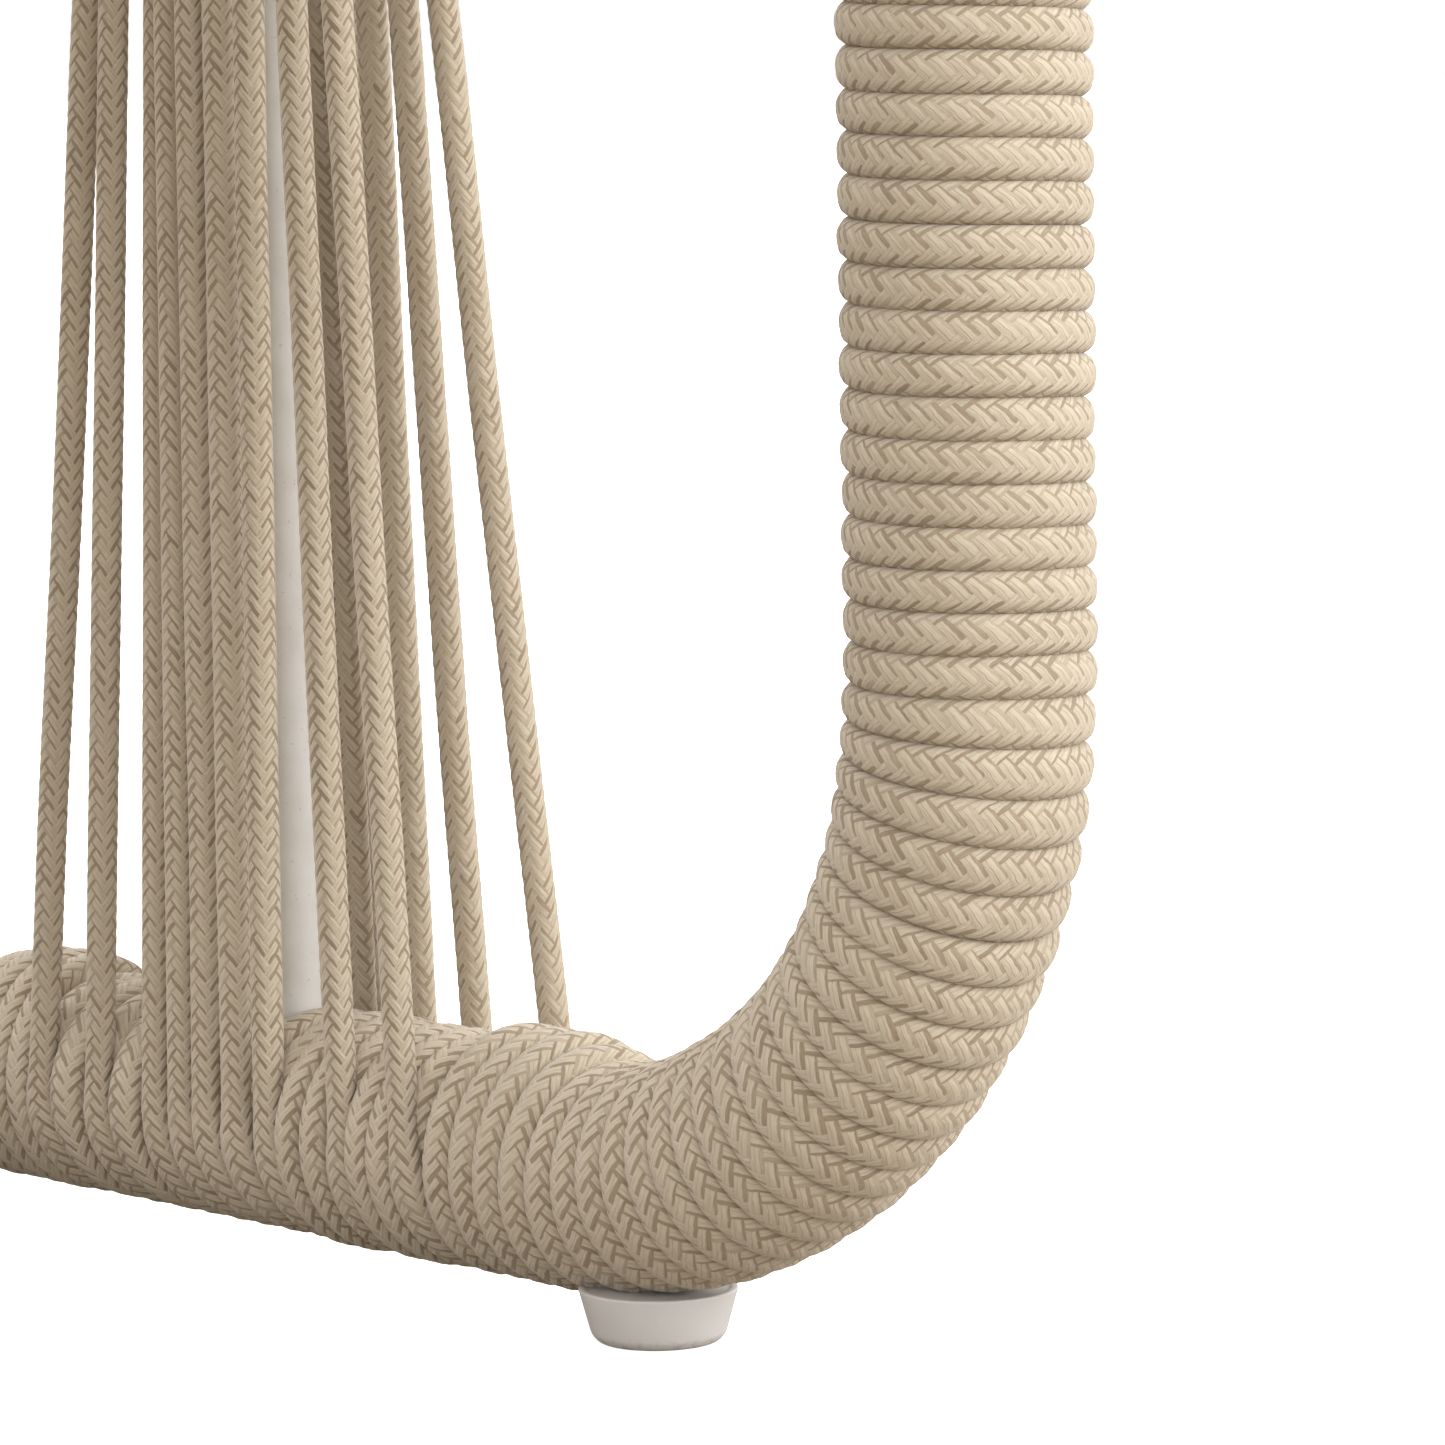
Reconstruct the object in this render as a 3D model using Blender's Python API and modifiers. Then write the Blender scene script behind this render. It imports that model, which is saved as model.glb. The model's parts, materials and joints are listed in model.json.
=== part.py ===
"""Hanging egg chair: two rope-wrapped side loops with hourglass rope fans, a
crossbeam, a sprung swivel hanger and an egg-shaped basket with cushions.

Units are metres. -Y is the front, +X is to the right as seen from the front and
+Z is up. The origin is on the floor, in the middle of the footprint. The pieces
are drawn with y = 0 in the plane of the centre posts, the beam and the hanger,
and are moved by SHIFT_Y at the end.

In the names, _R is a radius, and _X, _Y and _Z are places along the axes.
"""

import math

import bpy
import bmesh
from mathutils import Matrix, Vector

SIDES = (("left", -1), ("right", 1))    # label and sign along X
GAP = 0.0003                            # between touching pieces
CUT_FIT = 2 * GAP                       # added to the radius of fitted cutters

# ---- side loops: rounded rectangles in the YZ plane
TUBE_R = 0.030
TUBE_WALL = 0.0025
ROPE_D = 0.015
WRAP_R = TUBE_R + ROPE_D                # outside of the wrapped tube
WRAP_WALL = 0.0130
LOOP_X = 0.620                          # centre planes at x = -LOOP_X and +LOOP_X
HALF_DEPTH = 0.380                      # front vertical tube ahead of the centre post
REAR_EXTRA = 0.050                      # the rear vertical tube stands this much farther off
SHIFT_Y = -REAR_EXTRA / 2
BEND_R = 0.194                          # centreline of the four bends
BOTTOM_Z = 0.0597                       # axis of the bottom rail
TOP_Z = 1.950                           # axis of the top rail and the crossbeam
WAIST_Z = (BOTTOM_Z + TOP_Z) / 2        # waist of the rope fans

# ---- feet, near where the bends run into the bottom rail
FOOT_Y = 0.2116
FEET = (("front", -FOOT_Y), ("rear", FOOT_Y + REAR_EXTRA))
FOOT_TOP_R = 0.0300
FOOT_BOTTOM_R = 0.0248
FOOT_TOP_Z = BOTTOM_Z - 0.0396
FOOT_NECK_R = 0.0090
FOOT_SHANK_R = 0.0050
FOOT_NECK_Z = BOTTOM_Z - 0.0305         # top of the neck
FOOT_SHANK_Z = BOTTOM_Z - 0.020         # top of the shank

# ---- centre posts
POST_R = 0.0125
POST_WALL = 0.002
POST_END_INSET = 0.004                  # ends stand this far inside the rail axes

# ---- rope fans
FAN_ROPE_R = 0.0065
FAN_RAIL_OFFSET = 0.0375                # rope centre beside the rail axis where it leaves it
FAN_KNEE_RISE = 0.4365                  # from rail to the knees, where the bundle closes
FAN_TURN_STEP = 16.5                    # degrees between ropes round the waist
FAN_MIDDLE = 4                          # index of the middle rope
FAN_JOIN_ORDER = (3, 5, 2, 6, 1, 7, 0, 8)
WAIST_HALF_Y = 0.034                    # half axes of the bundle at the waist
WAIST_HALF_X = 0.021
WAIST_HALF_Z = 0.055                    # half height of the parallel stretch

INNER_BOTTOM_Y = (-0.1114, -0.0736, -0.0286, -0.0079, 0.0102, 0.0255, 0.0430, 0.0786, 0.1150)
INNER_TOP_Y = (-0.1240, -0.1010, -0.0790, -0.0600, -0.0420, 0.0440, 0.0640, 0.0900, 0.1180)
OUTER_RAIL_Y = (-0.1127, -0.0650, -0.0330, -0.0150, 0.0030, 0.0210, 0.0390, 0.0750, 0.1130)
# knees: y, and distance from the plane of the loop
INNER_KNEES = (
    (-0.0775, 0.032), (-0.0498, 0.032), (-0.0236, 0.032), (-0.0050, 0.032), (0.0110, 0.033),
    (0.0278, 0.030), (0.0430, 0.024), (0.0612, 0.032), (0.0781, 0.032),
)
OUTER_KNEES = (
    (-0.0640, 0.030), (-0.0410, 0.030), (-0.0214, 0.030), (-0.0020, 0.034), (0.0148, 0.030),
    (0.0310, 0.031), (0.0450, 0.026), (0.0610, 0.030), (0.0790, 0.030),
)
# face of the loop: sign relative to the side, bottom y, knees, top y
FANS = {
    "inner": (-1, INNER_BOTTOM_Y, INNER_KNEES, INNER_TOP_Y),
    "outer": (1, OUTER_RAIL_Y, OUTER_KNEES, OUTER_RAIL_Y),
}

LASH_HALF_Z = 0.050
LASH_HALF_Y = 0.0440                    # half axes of the hole through the lashing
LASH_HALF_X = 0.0300
LASH_WALL = 0.011

# ---- crossbeam and rear stretcher, each on a pair of stubs
BEAM_R = 0.030
BEAM_WALL = 0.0025
BEAM_END_X = LOOP_X - 0.0145
BEAM_BOLT_X = LOOP_X - 0.085
BEAM_WRAP_END = LOOP_X - 0.112
STRETCH_R = 0.020
STRETCH_WALL = 0.002
STRETCH_Y = 0.168 + REAR_EXTRA
STRETCH_Z = BOTTOM_Z
STRETCH_END_X = LOOP_X - 0.008
STRETCH_BOLT_X = LOOP_X - 0.080
STRETCH_WRAP_END = LOOP_X - 0.104
STRETCH_WRAP_T = 0.010
STUB_WALL = 0.003
BEAM_STUB_R = 0.0266
BEAM_STUB_SPAN = (0.012, 0.110)         # distances inwards from the loop's plane
STRETCH_STUB_R = 0.0168
STRETCH_STUB_SPAN = (0.0235, 0.102)
WRAP_CUT_SPAN = (0.012, 0.06)

# bolts and nuts as (radius, distance): head above the tube, tail and nut below it
BEAM_FASTENER = {
    "head": ((0, 0.0062), (0.0050, 0.0060), (0.0078, 0.0040), (0.0082, 0.0005),
             (0.0040, 0.0005)),
    "tail": ((0.0040, 0.0050), (0, 0.0050)),
    "nut": ((0, 0.0056), (0.0048, 0.0056), (0.0048, 0.0005), (0.0078, 0.0005),
            (0.0078, 0.0070), (0.0050, 0.0115), (0, 0.0130)),
    "bolt_steps": 10,
}
STRETCH_FASTENER = {
    "head": ((0, 0.0050), (0.0042, 0.0048), (0.0062, 0.0030), (0.0066, 0.0005),
             (0.0030, 0.0005)),
    "tail": ((0.0030, 0.0040), (0, 0.0040)),
    "nut": ((0, 0.0046), (0.0038, 0.0046), (0.0038, 0.0005), (0.0064, 0.0005),
            (0.0064, 0.0055), (0.0040, 0.0090), (0, 0.0100)),
    "bolt_steps": 8,
}

# ---- hanger, from the beam down
COLLAR_HALF = 0.028
PIVOT_DROP = 0.060
PIVOT_X_Z = TOP_Z - PIVOT_DROP          # upper pivot, its bolt along X
PIVOT_Y_Z = PIVOT_X_Z - 0.055           # lower pivot, its bolt along Y
PIN_R = 0.0058
CHEEK_HOLE_R = 0.0064
CHEEK_IN = 0.009                        # cheek faces, from the middle plane
CHEEK_OUT = 0.015
CHEEK_MID = (CHEEK_IN + CHEEK_OUT) / 2
CHEEK_HALF = (CHEEK_OUT - CHEEK_IN) / 2
LINK_EYE_HOLE_R = 0.0080
LINK_EYE_R = 0.0140
LINK_EYE_HALF = 0.0070
LINK_BAR_HALF = 0.0068
LINK_BAR_INSET = 0.009                  # bar ends, from the pivots
# fork profile: radius, height from the lower pivot
FORK_PROFILE = (
    (0, -0.0240), (0.0185, -0.0240), (0.0190, -0.0250), (0.0190, -0.0330), (0.0180, -0.0345),
    (0.0070, -0.0345), (0.0070, -0.0590), (0.0115, -0.0590), (0.0115, -0.0640), (0, -0.0640),
)
BARREL_TOP = PIVOT_Y_Z - 0.0365
# barrel profile: radius, height from BARREL_TOP
BARREL_PROFILE = (
    (0, -0.0310), (0.0140, -0.0310), (0.0140, -0.0150), (0.0080, -0.0150), (0.0080, 0),
    (0.0185, 0), (0.0195, -0.0010), (0.0195, -0.0370), (0.0150, -0.0420), (0, -0.0420),
)
LUG_HALF = 0.0050                       # half thickness of barrel and crown lugs

SPRING_TOP = 1.7425                     # wire centre in the swivel eye
SPRING_BOTTOM = 1.6120                  # wire centre in the quick link
SPRING_R = 0.019
SPRING_WIRE_R = 0.0032
SPRING_TURNS = 7
SPRING_TURN_STEPS = 9
HOOK_R = 0.013
HOOK_TO_COIL = 0.0175                   # hook centre to the nearest end of the coil
EYE_Z = SPRING_TOP + 0.0020             # hole of the barrel lug

LINK_WIRE_R = 0.0035
LINK_BEND_R = 0.0105
LINK_TOP = SPRING_BOTTOM + SPRING_WIRE_R + LINK_WIRE_R + 0.0005
LINK_BOTTOM = LINK_TOP - 0.042

# ---- egg basket
EGG_TOP = 1.536
EGG_MID = 0.860                         # height of the widest section
EGG_LOW = 0.385
EGG_HALF_X = 0.425
EGG_HALF_Y = 0.345
LIP_Z = 0.560                           # rim at the front of the seat
RIM_R = 0.0125
RIM_WALL = 0.002
RIM_WRAP_R = 0.0225
RIM_WRAP_WALL = 0.0076
RIM_STEPS = 30
HOOP_R = 0.0075
HOOP_INSET = 0.0110                     # hoop centre inside the egg surface
HOOP_CUT_R = HOOP_R + 0.0008
HOOP_Z = (1.27, 1.00, 0.73)
BASE_RING_Z = 0.455
# basket stations from the bowl to the crown, the hoops among them
STATION_Z = (0.405, BASE_RING_Z, 0.510, LIP_Z + 0.004, 0.640, HOOP_Z[2], 0.860,
             HOOP_Z[1], 1.140, HOOP_Z[0], 1.380, 1.460, 1.515)
STATION_STEPS = 16
SHELL_T = 0.010
SHELL_CLEARANCE = 0.0006                # inside of the shell outside the egg surface
CROWN_HOLE_Z = LINK_BOTTOM - 0.0019
CROWN_HALF_Y = 0.0200
CROWN_SHOULDER = -0.0180                # square shoulders, from the hole

# ---- cushions
SEAT_TOP = ((0, 0.585), (0.150, 0.583), (0.260, 0.572), (0.310, 0.556))     # radius, z
SEAT_EDGE = ((0.538, 0.044), (0.510, 0.050), (0.485, 0.060), (0.465, 0.076))  # z, inset
SEAT_BOTTOM_Z = 0.452
BACK_Z = (0.612, 1.330)
BACK_INSET = 0.030
BACK_T = 0.095
BACK_COLUMNS = 10
BACK_ROWS = 7

# ---- materials: base colour, roughness, metallic
LOOKS = {
    "rope": ((0.66, 0.59, 0.47, 1), 0.95, 0.0),
    "white_paint": ((0.78, 0.76, 0.73, 1), 0.45, 0.0),
    "foot_plastic": ((0.72, 0.70, 0.66, 1), 0.55, 0.0),
    "steel": ((0.62, 0.62, 0.63, 1), 0.35, 1.0),
    "zinc": ((0.70, 0.71, 0.72, 1), 0.30, 1.0),
    "nylon": ((0.85, 0.84, 0.80, 1), 0.5, 0.0),
    "cushion_fabric": ((0.82, 0.78, 0.70, 1), 0.9, 0.0),
}


# ------------------------------------------------------------------- helpers
for old in list(bpy.data.objects):
    bpy.data.objects.remove(old, do_unlink=True)

parts = bpy.data.collections.new("hanging_egg_chair")
cutters = bpy.data.collections.new("cutters")
bpy.context.scene.collection.children.link(parts)
bpy.context.scene.collection.children.link(cutters)

# rotation that lays the local Z of a turned piece along the named axis
AXIS_ROTATION = {
    'X': (0, math.pi / 2, 0),
    '-X': (0, -math.pi / 2, 0),
    'Y': (-math.pi / 2, 0, 0),
    'Z': (0, 0, 0),
}

# basis of a plate by its normal; outlines are (y, z), (x, z) and (x, y)
PLATE_BASIS = {
    'X': Matrix(((0, 0, 1), (1, 0, 0), (0, 1, 0))),
    'Y': Matrix(((1, 0, 0), (0, 0, -1), (0, 1, 0))),
    'Z': Matrix.Identity(3),
}


def material(slot):
    mat = bpy.data.materials.get(slot)
    if mat is None:
        colour, roughness, metallic = LOOKS[slot]
        mat = bpy.data.materials.new(slot)
        mat.use_nodes = True
        inputs = mat.node_tree.nodes["Principled BSDF"].inputs
        inputs["Base Color"].default_value = colour
        inputs["Roughness"].default_value = roughness
        inputs["Metallic"].default_value = metallic
    return mat


def finish(obj, slot):
    """Files the object as a part, or as a cutter or joined piece when slot is None."""
    for collection in list(obj.users_collection):
        collection.objects.unlink(obj)
    if slot is None:
        cutters.objects.link(obj)
        obj.hide_render = True
        obj.display_type = 'WIRE'
    else:
        parts.objects.link(obj)
        obj.data.materials.clear()
        obj.data.materials.append(material(slot))
    return obj


def mesh_object(name, bm, slot):
    mesh = bpy.data.meshes.new(name)
    bm.to_mesh(mesh)
    bm.free()
    return finish(bpy.data.objects.new(name, mesh), slot)


def add_polyline(curve, points, cyclic):
    spline = curve.splines.new('POLY')
    spline.points.add(len(points) - 1)
    for target, point in zip(spline.points, points):
        target.co = (*point, 1)
    spline.use_cyclic_u = cyclic


def curve_to_mesh(name, curve, slot, matrix):
    """Turns the curve into a mesh object, with its loose caps welded."""
    source = bpy.data.objects.new(name, curve)
    bpy.context.scene.collection.objects.link(source)
    source.matrix_world = matrix
    bpy.context.view_layer.update()
    graph = bpy.context.evaluated_depsgraph_get()
    mesh = bpy.data.meshes.new_from_object(source.evaluated_get(graph))
    # removed first, so that the new object can take its name
    bpy.data.objects.remove(source, do_unlink=True)
    bm = bmesh.new()
    bm.from_mesh(mesh)
    bmesh.ops.remove_doubles(bm, verts=bm.verts, dist=0.00001)
    bm.to_mesh(mesh)
    bm.free()
    obj = bpy.data.objects.new(name, mesh)
    obj.matrix_world = matrix
    return finish(obj, slot)


def sweep(name, points, radius, sides, slot, cyclic=False):
    """A round bar along a polyline."""
    curve = bpy.data.curves.new(name, 'CURVE')
    curve.dimensions = '3D'
    curve.bevel_depth = radius
    curve.bevel_resolution = (sides - 4) // 2
    curve.use_fill_caps = not cyclic
    add_polyline(curve, points, cyclic)
    return curve_to_mesh(name, curve, slot, Matrix.Identity(4))


def plate(name, outlines, half, slot, place, normal):
    """A flat plate from closed outlines, the first outside and the rest holes."""
    curve = bpy.data.curves.new(name, 'CURVE')
    curve.dimensions = '2D'
    curve.fill_mode = 'BOTH'
    curve.extrude = half
    for outline in outlines:
        add_polyline(curve, [(u, v, 0) for u, v in outline], True)
    matrix = Matrix.Translation(Vector(place)) @ PLATE_BASIS[normal].to_4x4()
    return curve_to_mesh(name, curve, slot, matrix)


def turned(name, profile, slot, steps, place=(0, 0, 0), axis='Z', scale=(1, 1, 1), closed=False):
    """A turned piece; profile points are (radius, height along the axis)."""
    bm = bmesh.new()
    verts = [bm.verts.new((radius, 0, z)) for radius, z in profile]
    for start, end in zip(verts, verts[1:] + (verts[:1] if closed else [])):
        bm.edges.new((start, end))
    obj = mesh_object(name, bm, slot)
    screw = obj.modifiers.new("turn", 'SCREW')
    screw.axis = 'Z'
    screw.steps = steps
    screw.render_steps = steps
    screw.use_merge_vertices = True
    screw.merge_threshold = 0.00001
    screw.use_smooth_shade = True
    obj.rotation_euler = AXIS_ROTATION[axis]
    obj.location = place
    obj.scale = scale
    return obj


def rod(name, radius, low, high, steps, place, axis='Z'):
    """A solid cylinder, used as a cutter."""
    profile = [(0, high), (radius, high), (radius, low), (0, low)]
    return turned(name, profile, None, steps, place, axis)


def ring(name, inner, outer, low, high, slot, steps, place=(0, 0, 0), axis='Z'):
    """A straight tube."""
    profile = [(inner, high), (outer, high), (outer, low), (inner, low)]
    return turned(name, profile, slot, steps, place, axis, closed=True)


def box(name, low, high, slot=None):
    bm = bmesh.new()
    bmesh.ops.create_cube(bm, size=1.0)
    size = [b - a for a, b in zip(low, high)]
    middle = [(a + b) / 2 for a, b in zip(low, high)]
    bmesh.ops.scale(bm, verts=bm.verts, vec=size)
    bmesh.ops.translate(bm, verts=bm.verts, vec=middle)
    return mesh_object(name, bm, slot)


def boolean(obj, other, operation='DIFFERENCE'):
    mod = obj.modifiers.new(operation.lower() + "_" + other.name, 'BOOLEAN')
    mod.operation = operation
    mod.object = other
    mod.solver = 'EXACT'


def solidify(obj, thickness, offset=-1):
    mod = obj.modifiers.new("wall", 'SOLIDIFY')
    mod.thickness = thickness
    mod.offset = offset
    mod.use_even_offset = True


def on_circle(u, v, radius, angle):
    return (u + radius * math.cos(angle), v + radius * math.sin(angle))


def arc(u, v, radius, start, end, steps):
    return [on_circle(u, v, radius, start + (end - start) * i / steps) for i in range(steps + 1)]


def circle(u, v, radius, steps):
    return arc(u, v, radius, 0, 2 * math.pi * (steps - 1) / steps, steps - 1)


def ear(radius, top, v):
    """Plate outline: straight top edge at height top, rounded about (0, v) below."""
    return [(radius, top), (-radius, top)] + arc(0, v, radius, math.pi, 2 * math.pi, 10)


def raised(profile, base):
    return [(radius, base + z) for radius, z in profile]


def add_quads(bm, grid):
    for lower, upper in zip(grid, grid[1:]):
        for j in range(len(lower) - 1):
            bm.faces.new((lower[j], lower[j + 1], upper[j + 1], upper[j]))


# ------------------------------------------------------------- the side loops
def loop_points():
    """Rounded rectangle in (y, z), counter-clockwise seen from +X. The lower
    bends have a station near the rail, where the feet are."""
    rear = HALF_DEPTH + REAR_EXTRA - BEND_R
    front = -HALF_DEPTH + BEND_R
    low = BOTTOM_Z + BEND_R
    high = TOP_Z - BEND_R
    # bend centre y and z, start angle, degrees of its stations
    bends = (
        (rear, low, -math.pi / 2, (0, 8, 34, 62, 90)),
        (rear, high, 0.0, (0, 22.5, 45, 67.5, 90)),
        (front, high, math.pi / 2, (0, 22.5, 45, 67.5, 90)),
        (front, low, math.pi, (0, 28, 56, 82, 90)),
    )
    return [on_circle(y, z, BEND_R, start + math.radians(degrees))
            for y, z, start, stations in bends for degrees in stations]


def inward_axis(side):
    return '-X' if side > 0 else 'X'


def shared_cutters(label, side):
    """Cutters that more than one piece of this side uses."""
    x = side * LOOP_X
    return {
        "rail_bottom": rod("cut_rail_bottom_" + label, TUBE_R + CUT_FIT, -0.4, 0.4, 16,
                           (x, 0, BOTTOM_Z), 'Y'),
        "rail_top": rod("cut_rail_top_" + label, TUBE_R + CUT_FIT, -0.4, 0.4, 16,
                        (x, 0, TOP_Z), 'Y'),
        "wrap_bottom": rod("cut_wrap_bottom_" + label, WRAP_R + CUT_FIT, -0.18, 0.18, 20,
                           (x, 0, BOTTOM_Z), 'Y'),
        "wrap_top": rod("cut_wrap_top_" + label, WRAP_R + CUT_FIT, -0.18, 0.18, 20,
                        (x, 0, TOP_Z), 'Y'),
        "beam_bolt": rod("cut_beam_bolt_" + label, 0.0046, -0.05, 0.05, 8,
                         (side * BEAM_BOLT_X, 0, TOP_Z)),
        "stretch_bolt": rod("cut_stretch_bolt_" + label, 0.0036, -0.04, 0.04, 8,
                            (side * STRETCH_BOLT_X, STRETCH_Y, STRETCH_Z)),
    }


def build_loop(label, side, path, cuts):
    """Bent tube with the two stubs for beam and stretcher."""
    x = side * LOOP_X
    inward = inward_axis(side)
    loop = sweep("frame_loop_" + label, path, TUBE_R, 8, "white_paint", cyclic=True)
    solidify(loop, TUBE_WALL)
    boolean(loop, ring("stub_beam_" + label, BEAM_STUB_R - STUB_WALL, BEAM_STUB_R,
                       *BEAM_STUB_SPAN, None, 12, (x, 0, TOP_Z), inward), 'UNION')
    boolean(loop, ring("stub_stretcher_" + label, STRETCH_STUB_R - STUB_WALL, STRETCH_STUB_R,
                       *STRETCH_STUB_SPAN, None, 10, (x, STRETCH_Y, STRETCH_Z), inward), 'UNION')
    for end, y in FEET:
        boolean(loop, rod(f"cut_foot_shank_{end}_{label}", 0.0058, 0.0, BOTTOM_Z, 8, (x, y, 0)))
    boolean(loop, cuts["beam_bolt"])
    boolean(loop, cuts["stretch_bolt"])


def build_loop_wrap(label, side, path):
    """Rope wound round the loop, drawn as one sleeve of its outer size."""
    x = side * LOOP_X
    inward = inward_axis(side)
    wrap = sweep("rope_wrap_" + label, path, WRAP_R, 12, "rope", cyclic=True)
    solidify(wrap, WRAP_WALL)
    boolean(wrap, rod("cut_post_" + label, POST_R + 0.0009, BOTTOM_Z, TOP_Z, 12, (x, 0, 0)))
    boolean(wrap, rod("cut_wrap_beam_" + label, BEAM_R + 0.0009, *WRAP_CUT_SPAN, 16,
                      (x, 0, TOP_Z), inward))
    boolean(wrap, rod("cut_wrap_stretcher_" + label, STRETCH_R + 0.0011, *WRAP_CUT_SPAN, 12,
                      (x, STRETCH_Y, STRETCH_Z), inward))
    for end, y in FEET:
        boolean(wrap, rod(f"cut_foot_pad_{end}_{label}", FOOT_TOP_R + 0.0008,
                          -0.01, FOOT_TOP_Z + 0.0004, 18, (x, y, 0)))
        boolean(wrap, rod(f"cut_foot_neck_{end}_{label}", 0.0100,
                          0.0, BOTTOM_Z - 0.015, 10, (x, y, 0)))


def build_post(label, side, cuts):
    """Centre post between the rails, with coped ends."""
    post = ring("centre_post_" + label, POST_R - POST_WALL, POST_R, BOTTOM_Z + POST_END_INSET,
                TOP_Z - POST_END_INSET, "white_paint", 12, (side * LOOP_X, 0, 0))
    boolean(post, cuts["rail_bottom"])
    boolean(post, cuts["rail_top"])


def fan_strand(name, loop_x, outward, bottom_y, knee, top_y, index):
    """One rope from the bottom rail through the waist to the top rail.
    outward is the sign along X of the rope's offset from the loop's plane."""
    turn = math.radians(FAN_TURN_STEP * (index - FAN_MIDDLE))
    waist_y = WAIST_HALF_Y * math.sin(turn)
    waist_offset = WAIST_HALF_X * math.cos(turn)
    knee_y, knee_offset = knee
    # offset from the loop's plane, y, z
    stations = (
        (FAN_RAIL_OFFSET, bottom_y, BOTTOM_Z),
        (knee_offset, knee_y, BOTTOM_Z + FAN_KNEE_RISE),
        (waist_offset, waist_y, WAIST_Z - WAIST_HALF_Z),
        (waist_offset, waist_y, WAIST_Z + WAIST_HALF_Z),
        (knee_offset, 0.5 * (knee_y + 0.7 * top_y), TOP_Z - FAN_KNEE_RISE),
        (FAN_RAIL_OFFSET, top_y, TOP_Z),
    )
    points = [(loop_x + outward * offset, y, z) for offset, y, z in stations]
    # the square section reaches a tenth beyond the rope's radius at its corners
    return sweep(name, points, FAN_ROPE_R * 1.1, 4, None)


def build_fans(label, side, cuts):
    """Rope fans on both faces of the loop; the middle strand becomes the fan."""
    for face, (sign, bottoms, knees, tops) in FANS.items():
        strands = [
            fan_strand(f"strand_{face}_{label}_{i}", side * LOOP_X, sign * side,
                       bottom_y, knee, top_y, i)
            for i, (bottom_y, knee, top_y) in enumerate(zip(bottoms, knees, tops))
        ]
        fan = strands[FAN_MIDDLE]
        fan.name = f"rope_fan_{face}_{label}"
        fan.hide_render = False
        fan.display_type = 'TEXTURED'
        finish(fan, "rope")
        for i in FAN_JOIN_ORDER:
            boolean(fan, strands[i], 'UNION')
        boolean(fan, cuts["wrap_bottom"])
        boolean(fan, cuts["wrap_top"])


def build_lashing(label, side):
    """Lashing round the waist of both fans."""
    outlines = [[(u * (LASH_HALF_X + wall), v * (LASH_HALF_Y + wall))
                 for u, v in circle(0, 0, 1, 24)] for wall in (LASH_WALL, 0)]
    plate("waist_lashing_" + label, outlines, LASH_HALF_Z, "rope",
          (side * LOOP_X, 0, WAIST_Z), 'Z')


def build_feet(label, side):
    """Tapered glides, each with a neck and a shank."""
    profile = [
        (0, FOOT_SHANK_Z), (FOOT_SHANK_R, FOOT_SHANK_Z), (FOOT_SHANK_R, FOOT_NECK_Z),
        (FOOT_NECK_R, FOOT_NECK_Z), (FOOT_NECK_R, FOOT_TOP_Z),
        (FOOT_TOP_R - 0.0008, FOOT_TOP_Z), (FOOT_TOP_R, FOOT_TOP_Z - 0.0008),
        (FOOT_BOTTOM_R, 0.0022), (FOOT_BOTTOM_R - 0.0007, 0.0007),
        (FOOT_BOTTOM_R - 0.0024, 0.0), (0, 0.0),
    ]
    for end, y in FEET:
        turned(f"foot_{end}_{label}", profile, "foot_plastic", 20, (side * LOOP_X, y, 0))


# ---------------------------------------------------- crossbeam and stretcher
def build_fastener(name, label, shape, tube_r, place):
    """Domed bolt and nut that lock a tube to its stub."""
    bolt = [(radius, tube_r + z) for radius, z in shape["head"]]
    bolt += [(radius, -tube_r - z) for radius, z in shape["tail"]]
    nut = [(radius, -tube_r - z) for radius, z in shape["nut"]]
    turned(f"{name}_bolt_{label}", bolt, "zinc", shape["bolt_steps"], place)
    turned(f"{name}_nut_{label}", nut, "zinc", 6, place)


def build_beam(side_cuts):
    """Crossbeam with its bolts, and rope wound round each half."""
    beam = ring("crossbeam", BEAM_R - BEAM_WALL, BEAM_R, -BEAM_END_X, BEAM_END_X,
                "white_paint", 16, (0, 0, TOP_Z), 'X')
    for label, side in SIDES:
        boolean(beam, side_cuts[label]["rail_top"])
        boolean(beam, side_cuts[label]["beam_bolt"])
        build_fastener("beam", label, BEAM_FASTENER, BEAM_R, (side * BEAM_BOLT_X, 0, TOP_Z))
        low, high = sorted((side * (COLLAR_HALF + 0.001), side * BEAM_WRAP_END))
        ring("beam_wrap_" + label, BEAM_R + 0.0012, WRAP_R, low, high, "rope", 16,
             (0, 0, TOP_Z), 'X')


def build_stretcher(side_cuts):
    """Rear stretcher with its bolts and its rope wrap."""
    place = (0, STRETCH_Y, STRETCH_Z)
    stretcher = ring("rear_stretcher", STRETCH_R - STRETCH_WALL, STRETCH_R, -STRETCH_END_X,
                     STRETCH_END_X, "white_paint", 12, place, 'X')
    for label, side in SIDES:
        cope = rod("cut_cope_" + label, TUBE_R + CUT_FIT, -0.06, 0.12, 16,
                   (side * LOOP_X, STRETCH_Y, BOTTOM_Z), 'Y')
        cope.scale = (1.02, 1.02, 1)
        boolean(stretcher, cope)
        boolean(stretcher, side_cuts[label]["stretch_bolt"])
        build_fastener("stretcher", label, STRETCH_FASTENER, STRETCH_R,
                       (side * STRETCH_BOLT_X, STRETCH_Y, STRETCH_Z))
    ring("stretcher_wrap", STRETCH_R + 0.0010, STRETCH_R + STRETCH_WRAP_T, -STRETCH_WRAP_END,
         STRETCH_WRAP_END, "rope", 16, place, 'X')


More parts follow.
